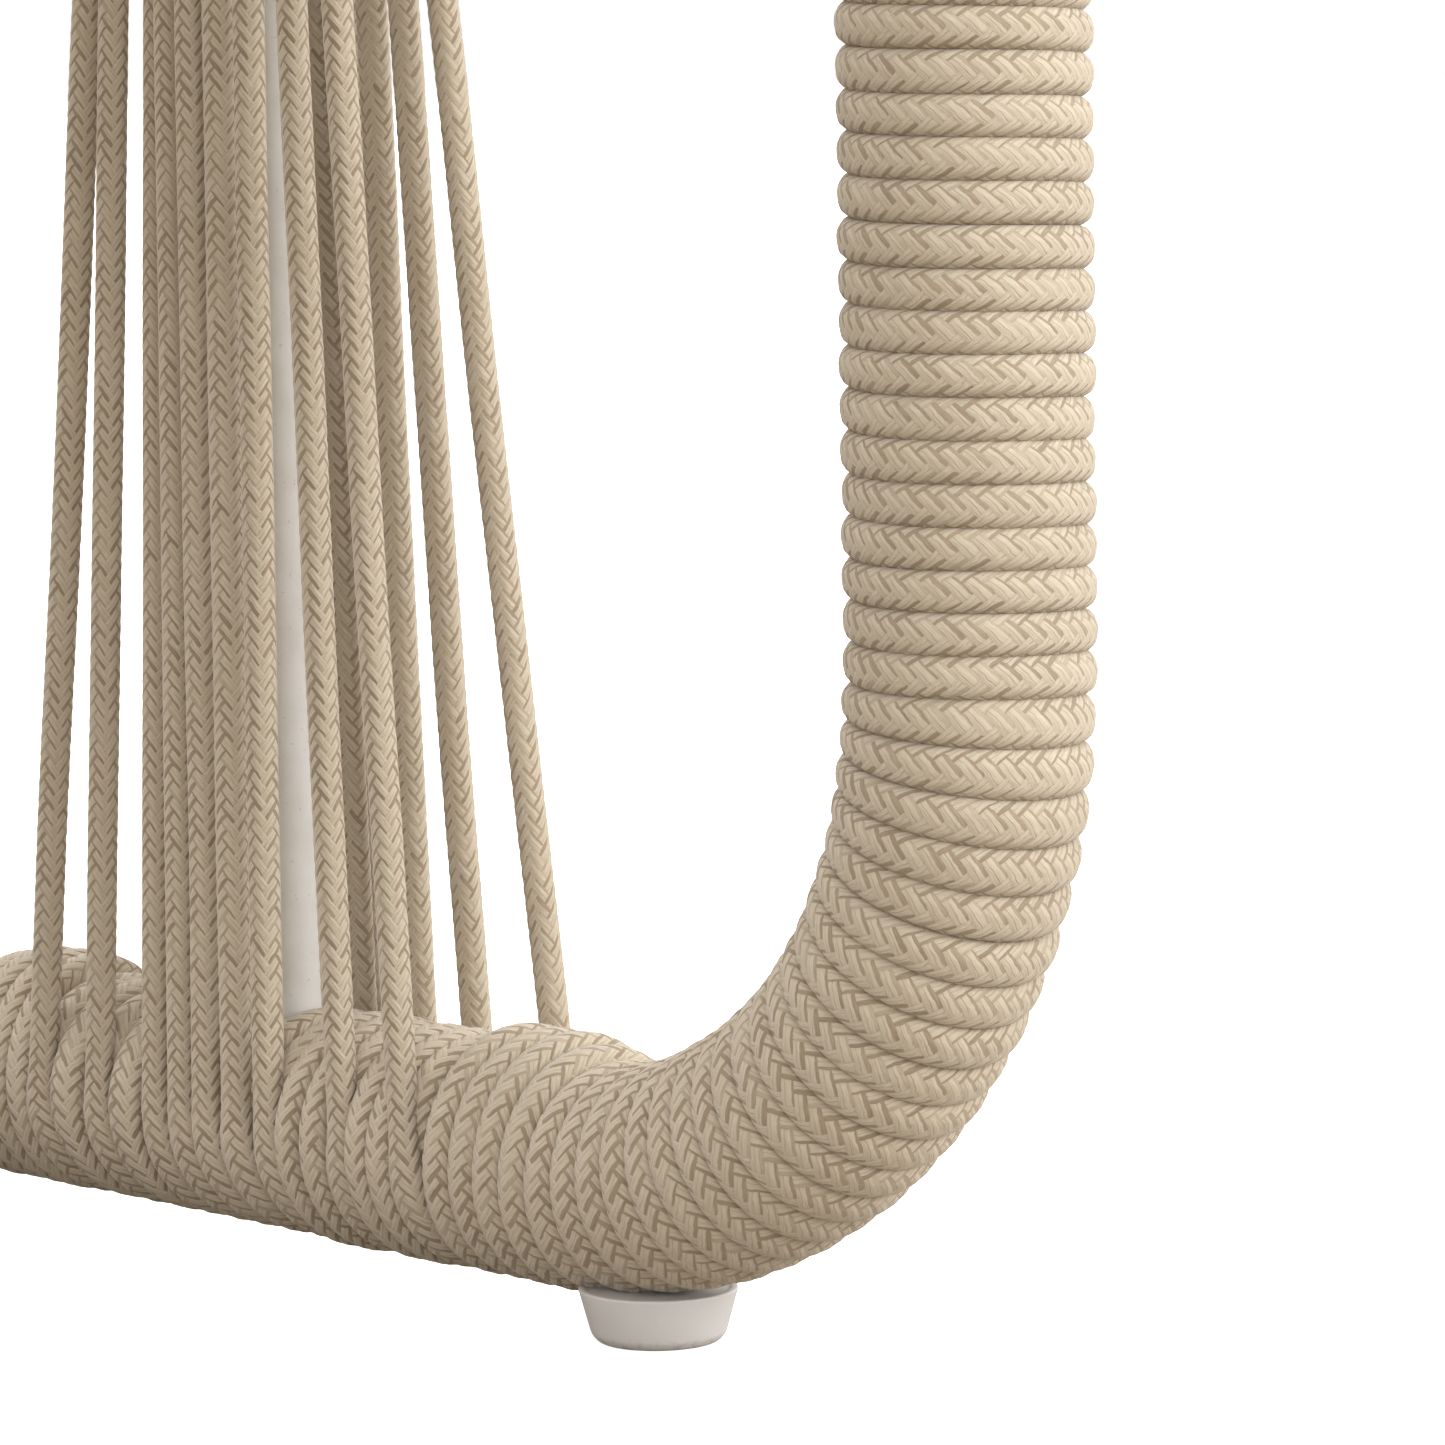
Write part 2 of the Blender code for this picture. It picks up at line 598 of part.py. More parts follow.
# --------------------------------------------------------------- hanger parts
def build_collar():
    """Sleeve round the beam, with two cheeks below it."""
    collar = ring("hanger_collar", BEAM_R + 0.0009, BEAM_R + 0.0060, -COLLAR_HALF, COLLAR_HALF,
                  "white_paint", 16, (0, 0, TOP_Z), 'X')
    outlines = [ear(0.016, -BEAM_R - 0.0030, -PIVOT_DROP),
                circle(0, -PIVOT_DROP, CHEEK_HOLE_R, 12)]
    for tag, sign in (("a", -1), ("b", 1)):
        cheek = plate("cheek_x_" + tag, outlines, CHEEK_HALF, None,
                      (sign * CHEEK_MID, 0, TOP_Z), 'X')
        boolean(collar, cheek, 'UNION')


def build_pivots():
    """Pivot bolts with nuts, and nylon bushes in the link eyes."""
    head = -CHEEK_OUT
    bolt = [
        (0, 0.0255), (PIN_R, 0.0255), (PIN_R, head - GAP), (0.0098, head - GAP),
        (0.0098, head - 0.0045), (0.0075, head - 0.0060), (0, head - 0.0062),
    ]
    for tag, axis, z in (("upper", 'X', PIVOT_X_Z), ("lower", 'Y', PIVOT_Y_Z)):
        place = (0, 0, z)
        turned("pivot_bolt_" + tag, bolt, "zinc", 12, place, axis)
        ring("pivot_nut_" + tag, 0.0070, 0.0112, CHEEK_OUT + GAP, CHEEK_OUT + 0.0088,
             "zinc", 6, place, axis)
        ring("pivot_bush_" + tag, 0.0062, 0.0077, -0.0068, 0.0068, "nylon", 12, place, axis)


def build_swing_link():
    """Square bar with a crossed eye at each end."""
    link = box("swing_link", (-LINK_BAR_HALF, -LINK_BAR_HALF, PIVOT_Y_Z + LINK_BAR_INSET),
               (LINK_BAR_HALF, LINK_BAR_HALF, PIVOT_X_Z - LINK_BAR_INSET), "steel")
    for tag, axis, z in (("x", 'X', PIVOT_X_Z), ("y", 'Y', PIVOT_Y_Z)):
        boolean(link, ring("link_eye_" + tag, LINK_EYE_HOLE_R, LINK_EYE_R, -LINK_EYE_HALF,
                           LINK_EYE_HALF, None, 16, (0, 0, z), axis), 'UNION')


def build_swivel():
    """Fork under the lower pivot, the barrel round its stem and the bearing."""
    fork = turned("swivel_fork", raised(FORK_PROFILE, PIVOT_Y_Z), "steel", 14)
    cheek_outlines = [
        [(-0.0125, -0.0250), (0.0125, -0.0250)] + arc(0, 0, 0.0140, -0.15, math.pi + 0.15, 10),
        circle(0, 0, CHEEK_HOLE_R, 12),
    ]
    for tag, sign in (("a", -1), ("b", 1)):
        cheek = plate("cheek_y_" + tag, cheek_outlines, CHEEK_HALF, None,
                      (0, sign * CHEEK_MID, PIVOT_Y_Z), 'Y')
        boolean(fork, cheek, 'UNION')

    barrel = turned("swivel_barrel", raised(BARREL_PROFILE, BARREL_TOP), "steel", 16)
    lug = plate("barrel_lug", [ear(0.0130, BARREL_TOP - 0.0400 - EYE_Z, 0),
                               circle(0, 0, 0.0072, 14)],
                LUG_HALF, None, (0, 0, EYE_Z), 'Y')
    boolean(barrel, lug, 'UNION')
    ring("thrust_bearing", 0.0084, 0.0125, BARREL_TOP - 0.0218, BARREL_TOP - 0.0155, "zinc", 12)


def build_spring():
    """Extension spring with a hook at each end."""
    top_hook = SPRING_TOP - HOOK_R
    bottom_hook = SPRING_BOTTOM + HOOK_R
    coil_top = top_hook - HOOK_TO_COIL
    coil_bottom = bottom_hook + HOOK_TO_COIL
    steps = SPRING_TURNS * SPRING_TURN_STEPS
    points = []
    for degrees in range(-30, 181, 30):
        angle = math.radians(degrees)
        points.append((0, -HOOK_R * math.cos(angle), top_hook + HOOK_R * math.sin(angle)))
    for i in range(steps + 1):
        angle = 2 * math.pi * i / SPRING_TURN_STEPS
        points.append((SPRING_R * math.sin(angle), SPRING_R * math.cos(angle),
                       coil_top + (coil_bottom - coil_top) * i / steps))
    for degrees in range(0, 211, 30):
        angle = math.radians(degrees)
        points.append((0, HOOK_R * math.cos(angle), bottom_hook - HOOK_R * math.sin(angle)))
    sweep("spring", points, SPRING_WIRE_R, 6, "steel")


def build_quick_link():
    """Closed link between the spring and the crown lug."""
    outline = arc(0, LINK_TOP - LINK_BEND_R, LINK_BEND_R, 0, math.pi, 8)
    outline += arc(0, LINK_BOTTOM + LINK_BEND_R, LINK_BEND_R, math.pi, 2 * math.pi, 8)
    sweep("quick_link", [(x, 0, z) for x, z in outline], LINK_WIRE_R, 8, "zinc", cyclic=True)


# ------------------------------------------------------------------ egg basket
def egg(z):
    """Fraction of the full width at height z."""
    if z >= EGG_MID:
        return (1 - ((z - EGG_MID) / (EGG_TOP - EGG_MID)) ** 1.9) ** (1 / 1.75)
    return (1 - ((EGG_MID - z) / (EGG_MID - EGG_LOW)) ** 2.4) ** (1 / 2.4)


def opening(z):
    """Half angle of the front opening, measured from straight ahead."""
    if z <= LIP_Z:
        return 0.0
    drop = (EGG_TOP - z) / (EGG_TOP - LIP_Z)
    return math.asin(max(0.0, 1 - drop ** 3) ** 0.5)


def egg_surface(turn, z):
    """Point on the egg, turn 0 straight ahead."""
    width = egg(z)
    return Vector((EGG_HALF_X * width * math.sin(turn), -EGG_HALF_Y * width * math.cos(turn), z))


def egg_point(turn, z, inset):
    """Point on the egg, pushed in along the normal."""
    below, above = z - 0.002, z + 0.002
    middle = 0.5 * (below + above)
    along_turn = egg_surface(turn + 0.01, middle) - egg_surface(turn - 0.01, middle)
    along_height = egg_surface(turn, above) - egg_surface(turn, below)
    normal = along_turn.cross(along_height)
    normal.normalize()
    return egg_surface(turn, z) - normal * inset


def station(z, j, inset):
    """Point j of STATION_STEPS round the shell at height z, from rim to rim."""
    start = opening(z)
    return egg_point(start + (2 * math.pi - 2 * start) * j / STATION_STEPS, z, inset)


def rim_path():
    """Edge of the opening, from the crown round through the lip."""
    points = []
    for i in range(RIM_STEPS):
        phase = 2 * math.pi * i / RIM_STEPS
        z = EGG_TOP - (EGG_TOP - LIP_Z) * (1 - math.cos(phase)) / 2
        point = egg_surface(opening(z), z)
        # crown and lip points lie exactly in the middle plane
        in_middle = abs(math.sin(phase)) <= 1e-9
        x = 0.0 if in_middle else math.copysign(point.x, math.sin(phase))
        points.append((x, point.y, point.z))
    return points


def keel_path():
    """Spine and keel in the middle plane, from the crown round to the lip."""
    points = [(0, 0.0, EGG_TOP - HOOP_INSET)]
    points += [tuple(egg_point(math.pi, z, HOOP_INSET)) for z in reversed(STATION_Z)]
    points += [(0, 0.0, EGG_LOW + HOOP_INSET)]
    points += [tuple(egg_point(0, z, HOOP_INSET)) for z in STATION_Z if z < LIP_Z]
    points += [tuple(egg_surface(0, LIP_Z - 0.002))]
    return points


def build_rim(path):
    rim = sweep("basket_rim_tube", path, RIM_R, 6, "white_paint", cyclic=True)
    solidify(rim, RIM_WALL)
    lip_y = path[RIM_STEPS // 2][1]
    boolean(rim, rod("cut_rim_drain", 0.003, -0.016, -0.004, 8, (0, lip_y, LIP_Z)))


def build_rim_wrap(path, keel, hoops):
    """Rope round the rim, parted where the frame and the lug pass through it."""
    wrap = sweep("basket_rim_wrap", path, RIM_WRAP_R, 8, "rope", cyclic=True)
    solidify(wrap, RIM_WRAP_WALL)
    boolean(wrap, sweep("cut_keel", keel, HOOP_CUT_R, 6, None))
    for i, hoop in enumerate(hoops):
        boolean(wrap, sweep(f"cut_hoop_{i}", hoop, HOOP_CUT_R, 6, None))
    boolean(wrap, box("cut_lug", (-0.0056, -0.0206, EGG_TOP + 0.002),
                      (0.0056, 0.0206, EGG_TOP + 0.05)))


def build_basket_frame(rim, keel, hoops):
    """Keel, hoops and base ring in one piece, cut clear of the rim tube."""
    frame = sweep("basket_frame", keel, HOOP_R, 6, "white_paint")
    for i, hoop in enumerate(hoops):
        boolean(frame, sweep(f"hoop_{i}", hoop, HOOP_R, 6, None), 'UNION')
    base_ring = [tuple(station(BASE_RING_Z, j, HOOP_INSET)) for j in range(STATION_STEPS)]
    boolean(frame, sweep("base_ring", base_ring, HOOP_R, 6, None, cyclic=True), 'UNION')
    boolean(frame, sweep("cut_rim_tube", rim, RIM_R + CUT_FIT, 6, None, cyclic=True))


def build_crown_lug():
    """Plate saddled on the rim tube."""
    base = EGG_TOP + 0.0040 - CROWN_HOLE_Z
    outline = [(-CROWN_HALF_Y, base), (CROWN_HALF_Y, base), (CROWN_HALF_Y, CROWN_SHOULDER)]
    outline += arc(0, 0, 0.0150, -0.2, math.pi + 0.2, 10)
    outline += [(-CROWN_HALF_Y, CROWN_SHOULDER)]
    lug = plate("crown_lug", [outline, circle(0, 0, 0.0080, 14)], LUG_HALF, "white_paint",
                (0, 0, CROWN_HOLE_Z), 'X')
    boolean(lug, rod("cut_crown_saddle", RIM_R + 0.0006, -0.03, 0.03, 20, (0, 0, EGG_TOP), 'X'))


def build_shell(rim):
    """Rope shell, a thin wall over the back and the bowl of the seat."""
    bm = bmesh.new()
    grid = []
    for z in STATION_Z:
        is_open = opening(z) > 0
        row = [bm.verts.new(station(z, j, -SHELL_CLEARANCE))
               for j in range(STATION_STEPS + is_open)]
        grid.append(row if is_open else row + [row[0]])
    pole = bm.verts.new((0, 0, EGG_LOW - SHELL_CLEARANCE))
    for j in range(STATION_STEPS):
        bm.faces.new((pole, grid[0][j + 1], grid[0][j]))
    add_quads(bm, grid)
    bmesh.ops.recalc_face_normals(bm, faces=bm.faces)
    shell = mesh_object("basket_shell", bm, "rope")
    solidify(shell, SHELL_T, 1)
    boolean(shell, sweep("cut_rim_wrap", rim, RIM_WRAP_R + 0.0010, 12, None, cyclic=True))


# -------------------------------------------------------------------- cushions
def build_seat_cushion():
    profile = list(SEAT_TOP)
    profile += [(EGG_HALF_X * egg(z) - inset, z) for z, inset in SEAT_EDGE]
    profile.append((0, SEAT_BOTTOM_Z))
    turned("seat_cushion", profile, "cushion_fabric", 20, scale=(1, EGG_HALF_Y / EGG_HALF_X, 1))


def build_back_cushion():
    """Patch parallel to the egg, narrowing upwards and thickened inwards."""
    bm = bmesh.new()
    low, high = BACK_Z
    grid = []
    for i in range(BACK_ROWS + 1):
        z = low + (high - low) * i / BACK_ROWS
        spread = math.radians(64 - 10 * (i / BACK_ROWS) ** 2)
        grid.append([
            bm.verts.new(egg_point(math.pi - spread + 2 * spread * j / BACK_COLUMNS, z,
                                   BACK_INSET))
            for j in range(BACK_COLUMNS + 1)
        ])
    add_quads(bm, grid)
    bmesh.ops.recalc_face_normals(bm, faces=bm.faces)
    back = mesh_object("back_cushion", bm, "cushion_fabric")
    # an open patch may come out facing either way
    middle = back.data.polygons[len(back.data.polygons) // 2]
    outward = middle.normal.dot(Vector((middle.center.x, middle.center.y, 0))) > 0
    solidify(back, BACK_T, -1 if outward else 1)


# -------------------------------------------------------------------- assembly
def build_side(label, side):
    """Builds one side and returns its shared cutters."""
    path = [(side * LOOP_X, y, z) for y, z in loop_points()]
    cuts = shared_cutters(label, side)
    build_loop(label, side, path, cuts)
    build_loop_wrap(label, side, path)
    build_post(label, side, cuts)
    build_fans(label, side, cuts)
    build_lashing(label, side)
    build_feet(label, side)
    return cuts


def build_hanger():
    build_collar()
    build_pivots()
    build_swing_link()
    build_swivel()
    build_spring()
    build_quick_link()


def build_basket():
    rim = rim_path()
    keel = keel_path()
    hoops = [[tuple(station(z, j, HOOP_INSET)) for j in range(STATION_STEPS + 1)]
             for z in HOOP_Z]
    build_rim(rim)
    build_rim_wrap(rim, keel, hoops)
    build_basket_frame(rim, keel, hoops)
    build_crown_lug()
    build_shell(rim)


cuts_by_side = {label: build_side(label, side) for label, side in SIDES}
build_beam(cuts_by_side)
build_stretcher(cuts_by_side)
build_hanger()
build_basket()
build_seat_cushion()
build_back_cushion()

# centre the chair on its footprint
for piece in list(parts.objects) + list(cutters.objects):
    piece.location.y += SHIFT_Y
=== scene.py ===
"""Looks of a hanging egg chair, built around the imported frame.

Two rope-wound loops stand left and right, joined by a crossbeam and a rear
stretcher. The woven egg basket hangs between them from a spring.
Metres, +X to the right seen from the front, -Y front, +Z up.
"""

import json
import math

import bmesh
import bpy
import numpy as np
from mathutils import Matrix, Vector
from mathutils.bvhtree import BVHTree

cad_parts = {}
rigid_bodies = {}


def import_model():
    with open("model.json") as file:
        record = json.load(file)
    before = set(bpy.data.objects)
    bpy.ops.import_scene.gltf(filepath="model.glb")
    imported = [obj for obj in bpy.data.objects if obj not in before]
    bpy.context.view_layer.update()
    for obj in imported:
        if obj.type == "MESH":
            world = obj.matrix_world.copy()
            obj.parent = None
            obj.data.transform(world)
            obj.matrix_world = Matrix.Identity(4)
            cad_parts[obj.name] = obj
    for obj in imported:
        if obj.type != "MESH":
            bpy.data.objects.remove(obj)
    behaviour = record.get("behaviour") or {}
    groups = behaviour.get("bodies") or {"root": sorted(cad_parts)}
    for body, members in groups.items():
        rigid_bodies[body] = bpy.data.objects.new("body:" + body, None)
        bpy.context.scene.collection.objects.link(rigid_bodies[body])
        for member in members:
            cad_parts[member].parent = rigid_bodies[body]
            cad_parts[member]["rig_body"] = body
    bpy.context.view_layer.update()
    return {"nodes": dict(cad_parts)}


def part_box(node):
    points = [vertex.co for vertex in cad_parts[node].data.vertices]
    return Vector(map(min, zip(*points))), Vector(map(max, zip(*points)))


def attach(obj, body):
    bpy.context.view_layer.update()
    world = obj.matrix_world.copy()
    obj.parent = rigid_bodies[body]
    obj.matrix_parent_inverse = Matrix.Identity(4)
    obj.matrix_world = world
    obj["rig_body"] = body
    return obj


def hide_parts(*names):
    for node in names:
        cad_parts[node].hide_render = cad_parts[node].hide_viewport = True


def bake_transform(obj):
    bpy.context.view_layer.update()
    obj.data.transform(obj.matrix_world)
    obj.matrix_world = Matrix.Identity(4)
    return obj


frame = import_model()


def middle(piece, axis):
    low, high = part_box(piece)
    return (getattr(low, axis) + getattr(high, axis)) / 2


# ---------------------------------------------------------------- dimensions
SIDES = (("left", -1), ("right", 1))

# stand
POST_X = middle("centre_post_right", "x")
SHIFT_Y = middle("centre_post_right", "y")   # the plane of the posts
TOP_Z = middle("crossbeam", "z")             # axis of the top rails
LOW_Z = 0.0597                               # axis of the bottom rails
MID_Z = (LOW_Z + TOP_Z) / 2
REACH = 0.380             # front upright ahead of the post
REAR = 0.050              # the rear upright stands this much farther off
BEND = 0.194              # radius of the loop corners
TUBE = 0.030              # radius of the loop tube
STRETCHER_TUBE = 0.020
STRETCHER_Y = 0.168 + REAR
FOOT_Y, FOOT_TOP = 0.2116, 0.0201

# rope
ROPE_HALF = 0.0075        # half thickness of the thick rope
WIND = TUBE + ROPE_HALF   # centre of the wound rope from the tube axis
PITCH = 0.01465           # of the winding on the loops
LEAD = 0.050              # length of one turn of the braid
FINE_COLUMNS = 32         # samples round a finely meshed rope, and along one lead
FINE_RELIEF = 0.00050     # height of the braid in the fine mesh
FINE_Z = 0.600            # below this the right loop carries its braid in the mesh
SQUARE = 0.86             # wound turns press flat against each other
DROP = 0.0018             # the wound rope hangs a little slack under the bottom rail
CORD = 0.0096             # thickness of the cord on the basket rim

# basket
EGG_TOP, EGG_MID, EGG_LOW = 1.536, 0.860, 0.385
EGG_A, EGG_B = 0.425, 0.345                  # half width, half depth
LIP_Z = 0.560                                # lowest point of the opening
HOOP_Z, RING_Z, HOOP_IN, CAGE_ROD = (1.27, 1.00, 0.73), 0.455, 0.011, 0.0075
ROW_Z = sorted(HOOP_Z + (RING_Z, 0.600, 0.865, 1.135, 1.385))   # twined rows
UPRIGHTS = 96
SHELL_OUT = 0.0055                           # upright ropes outside the egg surface


# -------------------------------------------------------------- number tools
def unit(v):
    return v / np.maximum(np.linalg.norm(v, axis=-1, keepdims=True), 1e-12)


def closed(values):
    return np.concatenate([values, values[:1]])


def distances(path):
    return np.concatenate([[0], np.cumsum(np.linalg.norm(np.diff(path, axis=0), axis=1))])


def tangents(path, cyclic=False):
    if cyclic:
        return unit(np.roll(path, -1, 0) - np.roll(path, 1, 0))
    return unit(np.gradient(path, axis=0))


def sample(at, along, values):
    values = np.asarray(values, float)
    if values.ndim == 1:
        return np.interp(at, along, values)
    return np.stack([np.interp(at, along, column) for column in values.T], 1)


def resample(step, path, *more):
    """Even steps along the path, and the same for the other arrays."""
    along = distances(path)
    count = max(3, int(round(along[-1] / step)) + 1)
    at = np.linspace(0, along[-1], count)
    return at, [sample(at, along, values) for values in (path,) + more]


def wobble(x, seed, period):
    """Smooth random line, -1 to 1."""
    values = np.random.RandomState(seed).uniform(-1, 1, 4096)
    t = np.asarray(x) / period
    i = np.floor(t).astype(int)
    f = t - i
    f = f * f * (3 - 2 * f)
    return values[i % 4096] * (1 - f) + values[(i + 1) % 4096] * f


def step01(x):
    x = np.clip(x, 0, 1)
    return x * x * (3 - 2 * x)


def both_ends(t, total, span):
    """1 at both ends of 0 to total, easing to 0 within the span."""
    return step01(1 - t / span) + step01(1 - (total - t) / span)


def across(angle, first, second):
    """Directions that turn from the first towards the second."""
    return np.cos(angle)[:, None] * first + np.sin(angle)[:, None] * second


def braid(turns, leads):
    """Height of the braided surface, about -0.3 to 1: two sets of eight
    strands that pass over two and under two."""
    a, b = 8 * (turns - leads), 8 * (turns + leads)
    strand_a, strand_b = np.floor(a), np.floor(b)
    round_a = np.cos(np.pi * (a - strand_a - 0.5)) ** 0.8
    round_b = np.cos(np.pi * (b - strand_b - 0.5)) ** 0.8
    wave_a = np.cos(np.pi * ((strand_a + 0.5 + b) - 1.5) / 2)
    wave_b = np.cos(np.pi * ((a + strand_b + 0.5) - 3.5) / 2)
    return np.maximum(0.60 * round_a + 0.40 * wave_a, 0.60 * round_b + 0.40 * wave_b)


# ------------------------------------------------------------------ mesh kit
def add(name, data):
    obj = bpy.data.objects.new(name, data)
    bpy.context.scene.collection.objects.link(obj)
    return obj


def to_mesh(name, shape):
    mesh = bpy.data.meshes.new(name)
    shape.to_mesh(mesh)
    shape.free()
    return mesh


def place(name, mesh, material, body, replaces=()):
    """Pieces are drawn with y = 0 in the plane of the posts, then moved."""
    mesh.transform(Matrix.Translation((0, SHIFT_Y, 0)))
    obj = add(name, mesh)
    mesh.materials.clear()
    mesh.materials.append(material)
    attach(obj, body)
    if replaces:
        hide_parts(*replaces)
    return obj


def fine_columns(roll, whole):
    """Samples round the rope, thinned on the side that lies on the tube."""
    k = np.arange(FINE_COLUMNS)
    turns = (k + 0.5) / FINE_COLUMNS
    away = np.abs((turns - roll + 0.5) % 1.0 - 0.5)
    return turns if whole else turns[(away < 0.33) | (k % 4 == 1)]


class RopeMesh:
    """Collects swept bodies into one mesh. Its UV map holds the turn round
    the rope and the braid leads along it. With a side (1 right, -1 left), paths
    are (n, y, z) about a post, n outward, and end -1 mirrors front to rear."""

    def __init__(self, side=0, end=1):
        self.sign = np.array((side or 1, end, 1), float)
        self.shift = np.array((side * POST_X, 0, 0), float)
        self.points, self.quads, self.uvs, self.caps, self.count = [], [], [], [], 0

    def sweep(self, path, outward, width, depth, turns, leads, relief=0.0,
              cyclic=False, square=1.0, roll=0.0):
        """Half width and half depth may vary along the path. square below 1
        flattens the sides, roll turns the braid round the rope."""
        path = np.asarray(path, float)
        rows, cols = len(path), len(turns)
        width, depth = (np.broadcast_to(np.asarray(size, float), (rows,))[:, None, None]
                        for size in (width, depth))
        along = tangents(path, cyclic)
        side = unit(np.cross(along, outward))
        normal = np.cross(side, along)[:, None]
        side = side[:, None]
        angle = (2 * np.pi * (turns - roll))[None, :, None]
        cos, sin = np.cos(angle), np.sin(angle)
        points = (path[:, None] + depth * (np.sign(cos) * np.abs(cos) ** square) * normal
                  + width * (np.sign(sin) * np.abs(sin) ** square) * side)
        if relief:
            height = relief * (braid(turns[None, :], leads[:, None]) - 0.9)
            points = points + height[:, :, None] * (cos * normal + sin * side)
        points = points * self.sign + self.shift

        i, j = np.meshgrid(np.arange(rows if cyclic else rows - 1), np.arange(cols), indexing="ij")
        turns = np.append(turns, turns[0] + 1.0)
        leads = np.append(leads, leads[-1] + (leads[1] - leads[0]))
        corners = ((0, 0), (0, 1), (1, 1), (1, 0))
        quads = np.stack([(i + di) % rows * cols + (j + dj) % cols for di, dj in corners],
                         -1).reshape(-1, 4)
        uvs = np.stack([np.stack([turns[j + dj], leads[i + di]], -1) for di, dj in corners],
                       2).reshape(-1, 4, 2)
        caps = [np.arange(cols)[::-1], (rows - 1) * cols + np.arange(cols)]
        if self.sign.prod() < 0:
            quads, uvs = quads[:, ::-1], uvs[:, ::-1]
            caps = [cap[::-1] for cap in caps]
        self.points.append(points.reshape(-1, 3))
        self.quads.append(quads + self.count)
        self.uvs.append(uvs)
        if not cyclic:
            self.caps += [cap + self.count for cap in caps]
        self.count += rows * cols

    def rope(self, path, outward, width, depth, start=0.0, fine=False, whole=False,
             cyclic=False, step=0.0095, sides=10, square=1.0, roll=1 / 16):
        """Braided rope. A fine one carries the braid in its mesh, whole
        keeps all samples round it; step and sides are for the coarse one."""
        width, depth = (np.broadcast_to(np.asarray(size, float), (len(path),))
                        for size in (width, depth))
        if cyclic:
            path, outward, width, depth = map(closed, (path, outward, width, depth))
        along, (path, outward, width, depth) = resample(
            LEAD / FINE_COLUMNS if fine else step, path, outward, width, depth)
        scale = 1.0
        if cyclic:
            # a whole number of quarter leads, so that the braid meets itself
            total = along[-1]
            scale = max(1, round(total / LEAD * 4)) / 4 / (total / LEAD)
            path, outward, width, depth, along = (
                values[:-1] for values in (path, outward, width, depth, along))
        if fine and not cyclic:
            leads = np.arange(len(path)) / FINE_COLUMNS
        else:
            leads = along / LEAD * scale
        leads = leads + round(start * FINE_COLUMNS) / FINE_COLUMNS
        turns = fine_columns(roll, whole) if fine else np.arange(sides) / sides
        self.sweep(path, outward, width, depth, turns, leads, FINE_RELIEF if fine else 0.0,
                   cyclic, square, roll)

    def rod(self, path, radius, sides, start, cyclic=False):
        self.sweep(path, frames(path, start, cyclic), radius, radius,
                   np.arange(sides) / sides, distances(path) / LEAD, cyclic=cyclic)

    def build(self, name, body, material, replaces=(), slot="rope"):
        points, quads = np.concatenate(self.points), np.concatenate(self.quads)
        loops = np.concatenate([quads.ravel()] + self.caps)
        cap_starts = np.cumsum([0] + [len(cap) for cap in self.caps])[:-1]
        starts = np.concatenate([np.arange(len(quads)) * 4, 4 * len(quads) + cap_starts])
        uvs = np.zeros((len(loops), 2))
        uvs[:4 * len(quads)] = np.concatenate(self.uvs).reshape(-1, 2)
        mesh = bpy.data.meshes.new(name)
        mesh.vertices.add(len(points))
        mesh.loops.add(len(loops))
        mesh.polygons.add(len(starts))
        mesh.vertices.foreach_set("co", points.astype(np.float32).ravel())
        mesh.loops.foreach_set("vertex_index", loops.astype(np.int32))
        mesh.polygons.foreach_set("loop_start", starts.astype(np.int32))
        mesh.update(calc_edges=True)
        layer = mesh.uv_layers.new(name="rope")
        layer.data.foreach_set("uv", uvs.astype(np.float32).ravel())
        mesh.shade_smooth()
        return place(name, mesh, material, body, replaces)


def frames(path, start, cyclic=False):
    """Directions across the path that don't twist along it."""
    along = tangents(path, cyclic)
    direction = np.array(start, float)
    out = []
    for tangent in along:
        direction = direction - tangent * (direction @ tangent)
        direction = direction / np.linalg.norm(direction)
        out.append(direction)
    out = np.array(out)
    if cyclic:
        # spread the mismatch at the seam over the whole path
        last = out[-1] - along[0] * (out[-1] @ along[0])
        last /= np.linalg.norm(last)
        off = math.atan2(np.cross(out[0], last) @ along[0], out[0] @ last)
        out = across(-off * np.arange(len(path)) / len(path), out, np.cross(along, out))
    return out


def smooth_path(points, per=3, cyclic=False):
    """Catmull-Rom line through the points."""
    P = np.array(points, float)
    if cyclic:
        P = np.vstack([P[-1:], P, P[:2]])
    else:
        P = np.vstack([2 * P[:1] - P[1:2], P, 2 * P[-1:] - P[-2:-1]])
    t = (np.arange(per) / per)[:, None]
    out = np.vstack([
        0.5 * (2 * p1 + (p2 - p0) * t + (2 * p0 - 5 * p1 + 4 * p2 - p3) * t ** 2
               + (3 * p1 - p0 - 3 * p2 + p3) * t ** 3)
        for p0, p1, p2, p3 in zip(P, P[1:], P[2:], P[3:])])
    return out if cyclic else np.vstack([out, P[-2:-1]])


def lathe(profile, steps=64, at=(0, 0, 0), along_x=False):
    """Body turned from (radius, height) points about Z, or about X."""
    shape = bmesh.new()
    rings = []
    for radius, height in profile:
        angles = [2 * math.pi * k / steps for k in range(1 if radius < 1e-6 else steps)]
        rings.append([shape.verts.new((radius * math.cos(a), radius * math.sin(a), height))
                      for a in angles])
    for ring, above in zip(rings, rings[1:]):
        for k in range(steps):
            quad = (ring[k % len(ring)], ring[(k + 1) % len(ring)],
                    above[(k + 1) % len(above)], above[k % len(above)])
            face = [vert for n, vert in enumerate(quad) if vert not in quad[:n]]
            if len(face) > 2:
                shape.faces.new(face)
    bmesh.ops.recalc_face_normals(shape, faces=shape.faces)
    turn = Matrix.Rotation(math.pi / 2, 4, "Y") if along_x else Matrix.Identity(4)
    shape.transform(Matrix.Translation(Vector(at)) @ turn)
    return shape


